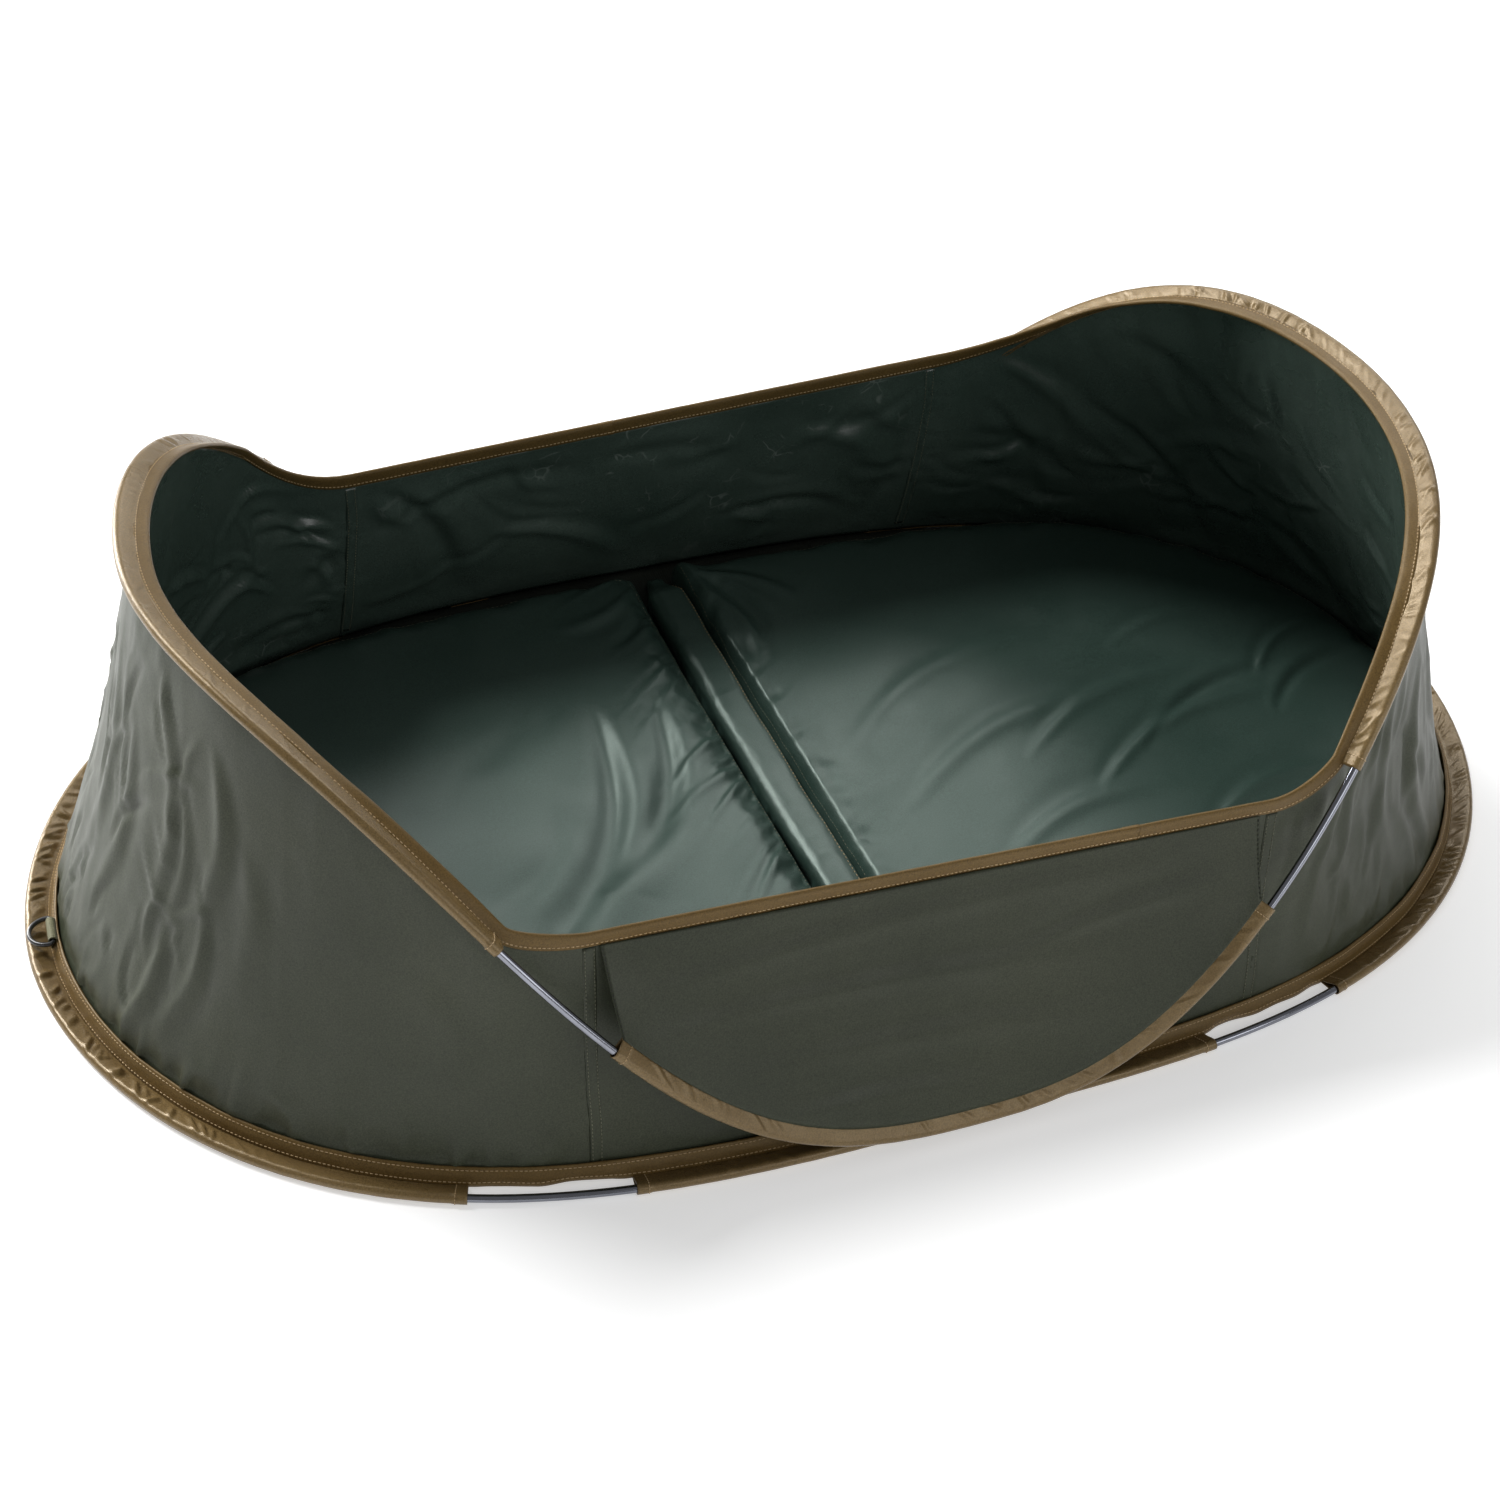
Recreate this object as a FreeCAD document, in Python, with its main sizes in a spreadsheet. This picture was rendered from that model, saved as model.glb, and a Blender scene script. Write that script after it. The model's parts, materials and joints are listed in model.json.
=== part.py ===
import FreeCAD, Part
import math
import os

# A pop-up padded cradle. Two hoops of sprung steel wire hold a tub of coated nylon open:
# a flat oval hoop in the hem, and a saddle-shaped hoop that rises into an arch at each end
# and drops to the ground outside each long side. A padded floor in two halves lies inside.
#
# Frame: +X along the cradle towards the lower arch, +Y towards the back long side, +Z up.
# The origin is the centre of the oval hem on the ground. Millimetres.

Vector = FreeCAD.Vector
UP = Vector(0, 0, 1)

doc = FreeCAD.newDocument("popup_cradle")

# ---------------------------------------------------------------- driving dimensions
DIMENSIONS = {
    # oval hem on the ground, measured over the outside of its sleeve
    "hem_length": 1200.0,
    "hem_width": 714.0,
    "hem_power_along": 3.2,
    "hem_power_across": 1.87,
    # saddle-shaped rim hoop, to the centre of its wire
    "left_arch_reach": 504.0,
    "right_arch_reach": 480.0,
    "rim_half_width": 365.0,
    "rim_power_along": 2.54,
    "rim_power_across": 1.85,
    "left_arch_height": 338.0,
    "right_arch_height": 322.0,
    "rim_low_height": 13.2,
    "left_rise_power": 1.42,
    "right_rise_power": 1.28,
    # sprung wire and the crimped ferrules that close each hoop
    "wire_diameter": 6.0,
    "wire_end_gap": 2.0,
    "ferrule_length": 40.0,
    "ferrule_wall": 0.5,
    "ferrule_clearance": 0.3,
    # wire sleeves
    "sleeve_cloth": 0.8,
    "sleeve_clearance": 0.4,
    "sleeve_tail": 14.0,
    "sleeve_tail_thickness": 1.8,
    # cloth panels, hem tape and rim binding
    "wall_thickness": 2.0,
    "flap_thickness": 1.4,
    "hem_tape_thickness": 3.0,
    "hem_tape_inner_inset": 30.0,
    "wall_foot_inset": 22.5,
    "binding_width": 14.0,
    "binding_thickness": 3.0,
    "rim_seam_left_y": 280.0,
    "rim_seam_right_y": 296.0,
    "rim_seam_left_z": 190.0,
    "rim_seam_right_z": 182.0,
    "left_seam_x": 273.0,
    "right_seam_x": 245.0,
    # padded floor
    "floor_thickness": 2.4,
    "pad_inset": 34.0,
    "pad_height": 24.0,
    "lining_thickness": 1.6,
    "foam_clearance": 0.3,
    "roll_width": 40.0,
    "roll_height": 27.0,
    "roll_groove": 3.5,
    "roll_length": 644.0,
    "roll_end_slack": 8.0,
    # webbing tab and D-ring on the left end
    "tab_y": 30.0,
    "tab_width": 22.0,
    "webbing_thickness": 1.4,
    "ring_wire": 3.6,
    "ring_inner_width": 24.4,
    "ring_corner_radius": 2.7,
    "ring_bar_inset": 19.5,
    "ring_bar_z": 13.0,
    "ring_droop": 6.0,
}

sheet = doc.addObject("Spreadsheet::Sheet", "dimensions")
for row, (name, value) in enumerate(DIMENSIONS.items(), start=1):
    sheet.set("A%d" % row, name)
    sheet.set("B%d" % row, repr(value))
    sheet.setAlias("B%d" % row, name)
doc.recompute()


def size(name):
    """A driving dimension, as the sheet holds it."""
    return float(getattr(sheet, name))


WIRE_RADIUS = size("wire_diameter") / 2
TUNNEL_RADIUS = WIRE_RADIUS + size("sleeve_clearance")
SLEEVE_RADIUS = TUNNEL_RADIUS + size("sleeve_cloth")
HEM_TAPE_OUTER_INSET = SLEEVE_RADIUS + size("sleeve_tail") + 0.5
HEM_TOP = size("hem_tape_thickness")
SEAM_OFFSET = size("sleeve_tail") + 0.5

# where the bare stretches of wire begin and end, as X positions on each long side
HEM_END_SLEEVE_X = {"left": -368.0, "right": 323.0}
HEM_SIDE_SLEEVE_X = (-254.0, 204.0)
ARCH_SLEEVE_X = {"left": -338.0, "right": 311.0}
FLAP_SLEEVE_X = (-268.0, 236.0)
BINDING_JOIN_X = {"front": 125.0, "back": -60.0}
FLANGE_SLOPE = math.radians(-12)


# ---------------------------------------------------------------- outlines
def hem_point(turn, inset=0.0):
    """A point of the oval hem at height 0, moved inwards by inset along the normal."""
    def outline(angle):
        along = math.cos(angle)
        across = max(0.0, 1 - abs(along) ** size("hem_power_along"))
        side = math.copysign(across ** (1 / size("hem_power_across")), math.sin(angle))
        return Vector(size("hem_length") / 2 * along, size("hem_width") / 2 * side, 0)

    tangent = outline(turn + 0.01) - outline(turn - 0.01)
    inward = UP.cross(tangent).normalize()
    return outline(turn) + inward * inset


def hem_inward(turn):
    """The horizontal direction from the hem towards the inside."""
    tangent = hem_point(turn + 0.01) - hem_point(turn - 0.01)
    return UP.cross(tangent).normalize()


def hem_wire_point(turn):
    """The centre of the wire in the hem."""
    return hem_point(turn, SLEEVE_RADIUS) + UP * SLEEVE_RADIUS


def rim_wire_point(turn):
    """The centre of the saddle-shaped rim wire."""
    along = math.cos(turn)
    end = "left" if along < 0 else "right"
    across = max(0.0, 1 - abs(along) ** size("rim_power_along"))
    side = math.copysign(across ** (1 / size("rim_power_across")), math.sin(turn))
    rise = (1 - math.cos(math.pi * abs(along) ** size(end + "_rise_power"))) / 2
    low = size("rim_low_height")
    height = low + (size(end + "_arch_height") - low) * rise
    return Vector(size(end + "_arch_reach") * along, size("rim_half_width") * side, height)


def rim_tangent(turn):
    """The direction of the rim wire."""
    return (rim_wire_point(turn + 0.01) - rim_wire_point(turn - 0.01)).normalize()


def rim_inward(turn):
    """The horizontal direction from the rim wire towards the inside."""
    return UP.cross(rim_tangent(turn)).normalize()


def flange_direction(turn):
    """The direction of the flat strip that an arch's sleeve and binding form."""
    inward = rim_inward(turn)
    upward = rim_tangent(turn).cross(inward) * -1
    if upward.z < 0:
        upward = upward * -1
    return (inward * math.cos(FLANGE_SLOPE) + upward * math.sin(FLANGE_SLOPE)).normalize()


def rim_seam_point(turn):
    """Where wall, sleeve and binding are sewn together along an arch."""
    return rim_wire_point(turn) + flange_direction(turn) * SEAM_OFFSET


def side_seam_point(x, side):
    """Where wall and binding are sewn together along a long side (side is -1 front, 1 back)."""
    left, right = -size("left_seam_x"), size("right_seam_x")
    share = (x - left) / (right - left)
    y = size("rim_seam_left_y") * (1 - share) + size("rim_seam_right_y") * share
    z = size("rim_seam_left_z") * (1 - share) + size("rim_seam_right_z") * share
    return Vector(x, side * y, z)


def turn_at(x, reach, side):
    """The turn at which an outline of this reach passes x on the front or back side."""
    return side * math.acos(max(-1.0, min(1.0, x / reach)))


def span_around_end(x, reach, end):
    """The first and last turn of a stretch that goes round one end from x to x."""
    turn = math.acos(x / reach)
    return (turn, 2 * math.pi - turn) if end == "left" else (-turn, turn)


def even_turns(curve, span, count):
    """Turns that divide a stretch of a curve into equal lengths."""
    steps = 300
    turns = [span[0] + (span[1] - span[0]) * i / steps for i in range(steps + 1)]
    points = [curve(turn) for turn in turns]
    run = [0.0]
    for a, b in zip(points, points[1:]):
        run.append(run[-1] + (b - a).Length)
    chosen = []
    for k in range(count):
        target = run[-1] * k / (count - 1)
        i = next(i for i in range(1, steps + 1) if run[i] >= target - 1e-9)
        share = (target - run[i - 1]) / (run[i] - run[i - 1])
        chosen.append(turns[i - 1] + (turns[i] - turns[i - 1]) * share)
    return chosen


# ---------------------------------------------------------------- building blocks
def arc_from(start, direction, end):
    """An edge that leaves start along direction and bends in one arc to end."""
    chord = end - start
    unit = Vector(chord).normalize()
    lean = direction - unit * direction.dot(unit)
    if lean.Length < 1e-5:
        return Part.LineSegment(start, end).toShape()
    half_turn = math.acos(max(-1.0, min(1.0, direction.dot(unit))))
    rise = chord.Length / 2 * math.tan(half_turn / 2)
    middle = (start + end) * 0.5 + Vector(lean).normalize() * rise
    return Part.Arc(start, middle, end).toShape()


def tangent_arcs(curve, span, count):
    """A wire of tangent arcs through points of a curve, two arcs between neighbours."""
    turns = even_turns(curve, span, count)
    points = [curve(turn) for turn in turns]
    tangents = [(curve(turn + 1e-3) - curve(turn - 1e-3)).normalize() for turn in turns]
    edges = []
    for p, q, first, last in zip(points, points[1:], tangents, tangents[1:]):
        gap = q - p
        both = first + last
        spread = 2 * (1 - first.dot(last))
        reach = gap.dot(both)
        if spread < 1e-7:
            length = gap.dot(gap) / (2 * reach)
        else:
            length = (-reach + math.sqrt(reach ** 2 + spread * gap.dot(gap))) / spread
        middle = (p + q + (first - last) * length) * 0.5
        edges.append(arc_from(p, first, middle))
        joint_direction = (q - last * length - (p + first * length)).normalize()
        edges.append(arc_from(middle, joint_direction, q))
    return Part.Wire(edges)


def tube_along(path, radius):
    """A round solid that follows a wire of tangent arcs."""
    start = path.Edges[0].Vertexes[0].Point
    edge = path.Edges[0]
    direction = edge.tangentAt(edge.FirstParameter)
    disc = Part.Face(Part.Wire(Part.makeCircle(radius, start, direction)))
    return path.makePipe(disc)


def ruled_face(first, second):
    """A face of straight rulings between two curves that share their parameters."""
    surface = Part.BSplineSurface()
    surface.buildFromPolesMultsKnots(
        [first.getPoles(), second.getPoles()], [2, 2], first.getMultiplicities(),
        [0.0, 1.0], first.getKnots(), False, False, 1, first.Degree)
    return surface.toShape()


def panel(sections):
    """A closed solid through cross-sections of four corners, with smooth long edges."""
    run = [0.0]
    for a, b in zip(sections, sections[1:]):
        run.append(run[-1] + (b[0] - a[0]).Length)
    rails = []
    for corner in range(4):
        curve = Part.BSplineCurve()
        curve.interpolate(Points=[section[corner] for section in sections], Parameters=run)
        rails.append(curve)
    faces = [ruled_face(rails[k], rails[(k + 1) % 4]) for k in range(4)]
    for section in (sections[0], sections[-1]):
        faces.append(Part.Face(Part.makePolygon(section + section[:1])))
    shell = Part.makeShell(faces)
    shell.sewShape()
    solid = Part.makeSolid(Part.Shell(shell.Faces))
    if solid.Volume < 0:
        solid.reverse()
    return solid


def strip_section(start, direction, thickness_direction, length, thickness):
    """A flat rectangle that starts at a point and is centred on its thickness."""
    half = thickness_direction * (thickness / 2)
    end = start + direction * length
    return [start - half, end - half, end + half, start + half]


def sleeve_section(centre, tail, normal, flat_side):
    """A drop-shaped outline round the wire, with a flat tail towards the seam.

    flat_side lowers the tail to the -normal side, as where the sleeve lies on the ground.
    """
    radius = SLEEVE_RADIUS
    half = size("sleeve_tail_thickness") / 2
    middle = -(radius - half) if flat_side else 0.0
    top = centre + normal * radius
    bottom = centre - normal * radius
    nose = centre - tail * radius
    end = centre + tail * size("sleeve_tail") + normal * middle
    return Part.Wire([
        Part.Arc(top, nose, bottom).toShape(),
        Part.LineSegment(bottom, end - normal * half).toShape(),
        Part.LineSegment(end - normal * half, end + normal * half).toShape(),
        Part.LineSegment(end + normal * half, top).toShape(),
    ])


def sleeve(curve, span, count, frame_at, flat_side):
    """A sleeve along a stretch of wire, with the tunnel that the wire runs in."""
    sections = []
    for turn in even_turns(curve, span, count):
        tail, normal = frame_at(turn)
        sections.append(sleeve_section(curve(turn), tail, normal, flat_side))
    outside = Part.makeLoft(sections, True, False)
    tunnel_path = tangent_arcs(curve, (span[0] - 0.03, span[1] + 0.03), 2 * count - 1)
    return outside.cut(tube_along(tunnel_path, TUNNEL_RADIUS))


def add_shape(name, shape):
    """A sub-part whose shape is a formula-driven sweep or loft."""
    feature = doc.addObject("Part::Feature", name)
    feature.Label = name
    feature.Shape = shape
    feature.Placement = FreeCAD.Placement()
    return feature


def origin_plane(body, role):
    """One of a body's own origin planes."""
    return next(f for f in body.Origin.OriginFeatures if f.Role == role)


def new_body(name):
    body = doc.addObject("PartDesign::Body", name)
    body.Label = name
    return body


def new_sketch(body, name, role, offset=None):
    """A sketch on one of the body's origin planes, moved by offset from it."""
    sketch = body.newObject("Sketcher::SketchObject", name)
    sketch.AttachmentSupport = [(origin_plane(body, role), "")]
    sketch.MapMode = "FlatFace"
    if offset is not None:
        sketch.AttachmentOffset = FreeCAD.Placement(offset, FreeCAD.Rotation())
    return sketch


def pad(body, sketch, name, length_expression, both_ways=False, reverse=False):
    feature = body.newObject("PartDesign::Pad", name)
    feature.Profile = sketch
    feature.setExpression("Length", length_expression)
    feature.SideType = "Symmetric" if both_ways else "One side"
    feature.Reversed = reverse
    return feature


def hem_outline(inset):
    """The whole oval at an inset, as one closed smooth curve."""
    turns = even_turns(lambda turn: hem_point(turn, inset), (0.0, 2 * math.pi), 41)[:-1]
    curve = Part.BSplineCurve()
    curve.interpolate(Points=[hem_point(turn, inset) for turn in turns], PeriodicFlag=True)
    return curve


def half_outline(end, inset, inner_x):
    """One half of the oval at an inset, closed by a straight line at inner_x."""
    reach = size("hem_length") / 2 - inset
    sign = -1 if end == "left" else 1
    span = span_around_end(sign * inner_x, reach, end)
    points = [hem_point(turn, inset) for turn in
              even_turns(lambda turn: hem_point(turn, inset), span, 23)]
    points[0].x = sign * inner_x
    points[-1].x = sign * inner_x
    curve = Part.BSplineCurve()
    curve.interpolate(Points=points)
    return [curve, Part.LineSegment(points[-1], points[0])]


# ---------------------------------------------------------------- sprung wire hoops
def make_hoops():
    """Both hoops and the ferrules that close them at the middle of the back side."""
    for name, curve in (("hem_hoop_wire", hem_wire_point), ("rim_hoop_wire", rim_wire_point)):
        centre = curve(math.pi / 2)
        reach = size("hem_length") / 2 if name.startswith("hem") else size("right_arch_reach")
        gap_turn = size("wire_end_gap") / 2 / reach
        span = (math.pi / 2 + gap_turn, math.pi / 2 - gap_turn + 2 * math.pi)
        add_shape(name, tube_along(tangent_arcs(curve, span, 41), WIRE_RADIUS))
        add_ferrule(name.replace("wire", "ferrule"), centre)


def add_ferrule(name, centre):
    """A crimped tube over the two ends of a hoop."""
    parts = {}
    for role, extra in (("outside", " + 2 * dimensions.ferrule_wall"), ("bore", "")):
        cylinder = doc.addObject("Part::Cylinder", name + "_" + role)
        cylinder.setExpression(
            "Radius",
            "(dimensions.wire_diameter + 2 * dimensions.ferrule_clearance%s) / 2" % extra)
        cylinder.setExpression("Height", "dimensions.ferrule_length")
        along_x = FreeCAD.Rotation(Vector(0, 1, 0), 90)
        start = centre - Vector(size("ferrule_length") / 2, 0, 0)
        cylinder.Placement = FreeCAD.Placement(start, along_x)
        parts[role] = cylinder
    tube = doc.addObject("Part::Cut", name)
    tube.Label = name
    tube.Base = parts["outside"]
    tube.Tool = parts["bore"]
    return tube


# ---------------------------------------------------------------- sleeves
def hem_frame(turn):
    return hem_inward(turn), UP


def arch_frame(turn):
    tail = flange_direction(turn)
    return tail, rim_tangent(turn).cross(tail).normalize()


def flap_top_point(turn):
    """The point of the flap's sewn top edge that hangs opposite this point of the wire."""
    wire = rim_wire_point(turn)
    side = -1 if wire.y < 0 else 1
    seam = side_seam_point(wire.x * 0.99, side)
    return seam + Vector(0, side * 1.0, -0.6)


def flap_frame(turn):
    tangent = rim_tangent(turn)
    rise = flap_top_point(turn) - rim_wire_point(turn)
    tail = (rise - tangent * rise.dot(tangent)).normalize()
    return tail, tangent.cross(tail).normalize()


def side_span(x_range, reach, side):
    """The turns of a stretch along the front or back, from low X to high X."""
    turns = [turn_at(x, size(end + "_arch_reach") if reach is None else reach, side)
             for x, end in zip(x_range, ("left", "right"))]
    return tuple(sorted(turns))


def make_sleeves():
    hem_reach = size("hem_length") / 2
    for end in ("left", "right"):
        span = span_around_end(HEM_END_SLEEVE_X[end], hem_reach, end)
        add_shape("%s_hem_sleeve" % end, sleeve(hem_wire_point, span, 17, hem_frame, True))
        span = span_around_end(ARCH_SLEEVE_X[end], size(end + "_arch_reach"), end)
        add_shape("%s_arch_sleeve" % end, sleeve(rim_wire_point, span, 17, arch_frame, False))
    for name, side in (("front", -1), ("back", 1)):
        span = side_span(HEM_SIDE_SLEEVE_X, hem_reach, side)
        hem_sleeve = sleeve(hem_wire_point, span, 9, hem_frame, True)
        span = side_span(FLAP_SLEEVE_X, None, side)
        flap_sleeve = sleeve(rim_wire_point, span, 11, flap_frame, False)
        if name == "back":
            hem_sleeve = hem_sleeve.cut(ferrule_room(hem_wire_point))
            flap_sleeve = flap_sleeve.cut(ferrule_room(rim_wire_point))
        add_shape("%s_hem_sleeve" % name, hem_sleeve)
        add_shape("%s_flap_sleeve" % name, flap_sleeve)


def ferrule_room(curve):
    """The room that a hoop's ferrule takes up inside its sleeve."""
    radius = WIRE_RADIUS + size("ferrule_clearance") + size("ferrule_wall") + 0.1
    length = size("ferrule_length") + 1
    start = curve(math.pi / 2) - Vector(length / 2, 0, 0)
    return Part.makeCylinder(radius, length, start, Vector(1, 0, 0))


def trim_to(name, neighbour):
    """Cuts a cloth layer back to the face of the layer it is sewn to."""
    layer = doc.getObject(name)
    solids = layer.Shape.cut(doc.getObject(neighbour).Shape).Solids
    layer.Shape = max(solids, key=lambda solid: solid.Volume)


# ---------------------------------------------------------------- cloth panels
def wall_section(foot, top, inward, drop):
    """A wall's cross-section from its foot on the hem tape to the rim seam."""
    inside = inward * size("wall_thickness")
    upper = top - UP * drop
    return [foot, upper, upper + inside, foot + inside]


def wall_foot(turn):
    return hem_point(turn, size("wall_foot_inset")) + UP * HEM_TOP


def make_end_wall(end):
    """The curved wall round one end, from seam to seam."""
    count = 15
    seam_x = -size("left_seam_x") if end == "left" else size("right_seam_x")
    reach = size("hem_length") / 2 - size("wall_foot_inset")
    arch = even_turns(rim_wire_point,
                      span_around_end(ARCH_SLEEVE_X[end], size(end + "_arch_reach"), end),
                      count)
    first_side = 1 if end == "left" else -1
    tops = [side_seam_point(seam_x, first_side)]
    tops += [rim_seam_point(turn) for turn in arch]
    tops.append(side_seam_point(seam_x, -first_side))
    run = [0.0]
    for a, b in zip(tops, tops[1:]):
        run.append(run[-1] + (b - a).Length)
    foot_span = span_around_end(seam_x, reach, end)
    fine = even_turns(lambda turn: hem_point(turn, size("wall_foot_inset")), foot_span, 201)
    sections = []
    for i, top in enumerate(tops):
        turn = fine[round(200 * run[i] / run[-1])]
        at_seam = i in (0, len(tops) - 1)
        inward = hem_inward(turn)
        sections.append(wall_section(wall_foot(turn), top, inward, 1.0 if at_seam else 2.4))
    add_shape("%s_end_wall" % end, panel(sections))


def make_side_wall(name, side):
    """The low wall along one long side, from seam to seam."""
    left, right = -size("left_seam_x"), size("right_seam_x")
    gap = 0.3
    sections = []
    for i in range(7):
        x = left + gap + (right - left - 2 * gap) * i / 6
        turn = turn_at(x, size("hem_length") / 2 - size("wall_foot_inset"), side)
        foot = wall_foot(turn)
        foot.x = x
        sections.append(wall_section(foot, side_seam_point(x, side), Vector(0, -side, 0), 0.6))
    add_shape("%s_side_wall" % name, panel(sections))


def make_flap(name, side):
    """The D-shaped panel that hangs outside a long side, down to its own sleeve."""
    sections = []
    for turn in even_turns(rim_wire_point, side_span(FLAP_SLEEVE_X, None, side), 13):
        tail, normal = flap_frame(turn)
        low = rim_wire_point(turn) + tail * (size("sleeve_tail") + 0.3)
        high = flap_top_point(turn)
        half = normal * (size("flap_thickness") / 2)
        sections.append([low - half, high - half, high + half, low + half])
    add_shape("%s_flap" % name, panel(sections))


def binding_section(seam, inward, upright):
    """The folded tape on the rim: upright is 1 where it stands and 0 where it lies flat."""
    angle = FLANGE_SLOPE + (math.pi / 2 - FLANGE_SLOPE) * upright
    direction = inward * math.cos(angle) + UP * math.sin(angle)
    across = inward * math.sin(angle) - UP * math.cos(angle)
    start = seam + direction * 0.6 + inward * (0.9 * upright)
    return strip_section(start, direction, across, size("binding_width"),
                         size("binding_thickness"))


def make_binding(end):
    """The rim tape round one end, from its join on the back to its join on the front."""
    sign = -1 if end == "left" else 1
    seam_x = -size("left_seam_x") if end == "left" else size("right_seam_x")
    arch = even_turns(rim_wire_point,
                      span_around_end(ARCH_SLEEVE_X[end], size(end + "_arch_reach"), end), 17)
    lead = [side_stations(side, end, seam_x) for side in (1, -1)]
    body = []
    for i, turn in enumerate(arch):
        from_end = min(i, len(arch) - 1 - i)
        upright = {0: 0.62, 1: 0.25}.get(from_end, 0.0)
        body.append(binding_section(rim_seam_point(turn), rim_inward(turn), upright))
    back, front = lead
    if end == "left":
        sections = back + body + front[::-1]
    else:
        sections = front + body + back[::-1]
    add_shape("rim_binding_%s" % end, panel(sections))


def side_stations(side, end, seam_x):
    """Upright sections of the rim tape along one long side, from its join to the seam."""
    join = BINDING_JOIN_X["back" if side > 0 else "front"]
    gap = -0.3 if end == "left" else 0.3
    first = join + gap
    return [binding_section(side_seam_point(first + (seam_x - first) * i / 4, side),
                            Vector(0, -side, 0), 1.0) for i in range(5)]


# ---------------------------------------------------------------- hem and padded floor
def make_hem_tape():
    """The flat tape that joins sleeves, walls and floor round the whole hem."""
    body = new_body("hem_tape")
    sketch = new_sketch(body, "hem_tape_outline", "XY_Plane")
    sketch.addGeometry(hem_outline(HEM_TAPE_OUTER_INSET))
    sketch.addGeometry(hem_outline(size("hem_tape_inner_inset")))
    pad(body, sketch, "hem_tape_pad", "dimensions.hem_tape_thickness")


def make_floor():
    body = new_body("floor_sheet")
    sketch = new_sketch(body, "floor_outline", "XY_Plane")
    sketch.addGeometry(hem_outline(size("hem_tape_inner_inset")))
    pad(body, sketch, "floor_pad", "dimensions.floor_thickness")


def make_pad(end):
    """One half of the padded floor: a foam slab under a lining that is sewn down all round."""
    inner_x = size("roll_width") / 2 + size("roll_groove")
    skin = size("lining_thickness")
    slack = size("foam_clearance")
    base = Vector(0, 0, size("floor_thickness"))

    lining = new_body("%s_pad_lining" % end)
    outer = new_sketch(lining, "%s_lining_outline" % end, "XY_Plane", base)
    for curve in half_outline(end, size("pad_inset"), inner_x):
        outer.addGeometry(curve)
    pad(lining, outer, "%s_lining_pad" % end,
        "dimensions.pad_height - dimensions.floor_thickness")
    doc.recompute()
    hollow = new_sketch(lining, "%s_lining_inside" % end, "XY_Plane", base)
    for curve in half_outline(end, size("pad_inset") + skin, inner_x + skin):
        hollow.addGeometry(curve)
    pocket = lining.newObject("PartDesign::Pocket", "%s_lining_pocket" % end)
    pocket.Profile = hollow
    pocket.setExpression(
        "Length",
        "dimensions.pad_height - dimensions.floor_thickness - dimensions.lining_thickness")
    pocket.Reversed = True

    foam = new_body("%s_foam_slab" % end)
    slab = new_sketch(foam, "%s_foam_outline" % end, "XY_Plane", base)
    for curve in half_outline(end, size("pad_inset") + skin + slack, inner_x + skin + slack):
        slab.addGeometry(curve)
    pad(foam, slab, "%s_foam_pad" % end,
        "dimensions.pad_height - dimensions.floor_thickness"
        " - dimensions.lining_thickness - dimensions.foam_clearance")


def roll_profile(sketch, half_width, height, base):
    """A half-round section with a flat base, as two lines and one arc."""
    low = Vector(half_width, base, 0)
    high = Vector(0, height, 0)
    other = Vector(-half_width, base, 0)
    sketch.addGeometry(Part.Arc(low, high, other))
    sketch.addGeometry(Part.LineSegment(other, low))


def make_fold_roll():
    """The narrow padded roll between the halves, along which the floor folds."""
    skin = size("lining_thickness")
    half_width = size("roll_width") / 2
    base = size("floor_thickness")

    cover = new_body("fold_roll_cover")
    sketch = new_sketch(cover, "roll_cover_profile", "XZ_Plane")
    roll_profile(sketch, half_width, size("roll_height"), base)
    roll_profile(sketch, half_width - 2 * skin, size("roll_height") - skin, base + skin)
    pad(cover, sketch, "roll_cover_pad", "dimensions.roll_length", both_ways=True)

    core = new_body("fold_roll_core")
    sketch = new_sketch(core, "roll_core_profile", "XZ_Plane")
    roll_profile(sketch, half_width - 2 * skin - 0.6, size("roll_height") - skin - 0.3,
                 base + skin + 0.2)
    pad(core, sketch, "roll_core_pad",
        "dimensions.roll_length - dimensions.roll_end_slack", both_ways=True)


# ---------------------------------------------------------------- webbing tab and D-ring
def ring_place():
    """The centre of the D-ring's bar, and the turn about Z that faces it outwards."""
    reach = size("hem_length") / 2
    turn = math.pi - 0.5 * size("tab_y") / reach
    while hem_point(turn).y < size("tab_y"):
        turn -= 0.0005
    inward = hem_inward(turn)
    centre = hem_point(turn, size("ring_bar_inset")) + UP * size("ring_bar_z")
    return centre, FreeCAD.Rotation(UP, math.degrees(math.atan2(inward.y, inward.x)))


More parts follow.
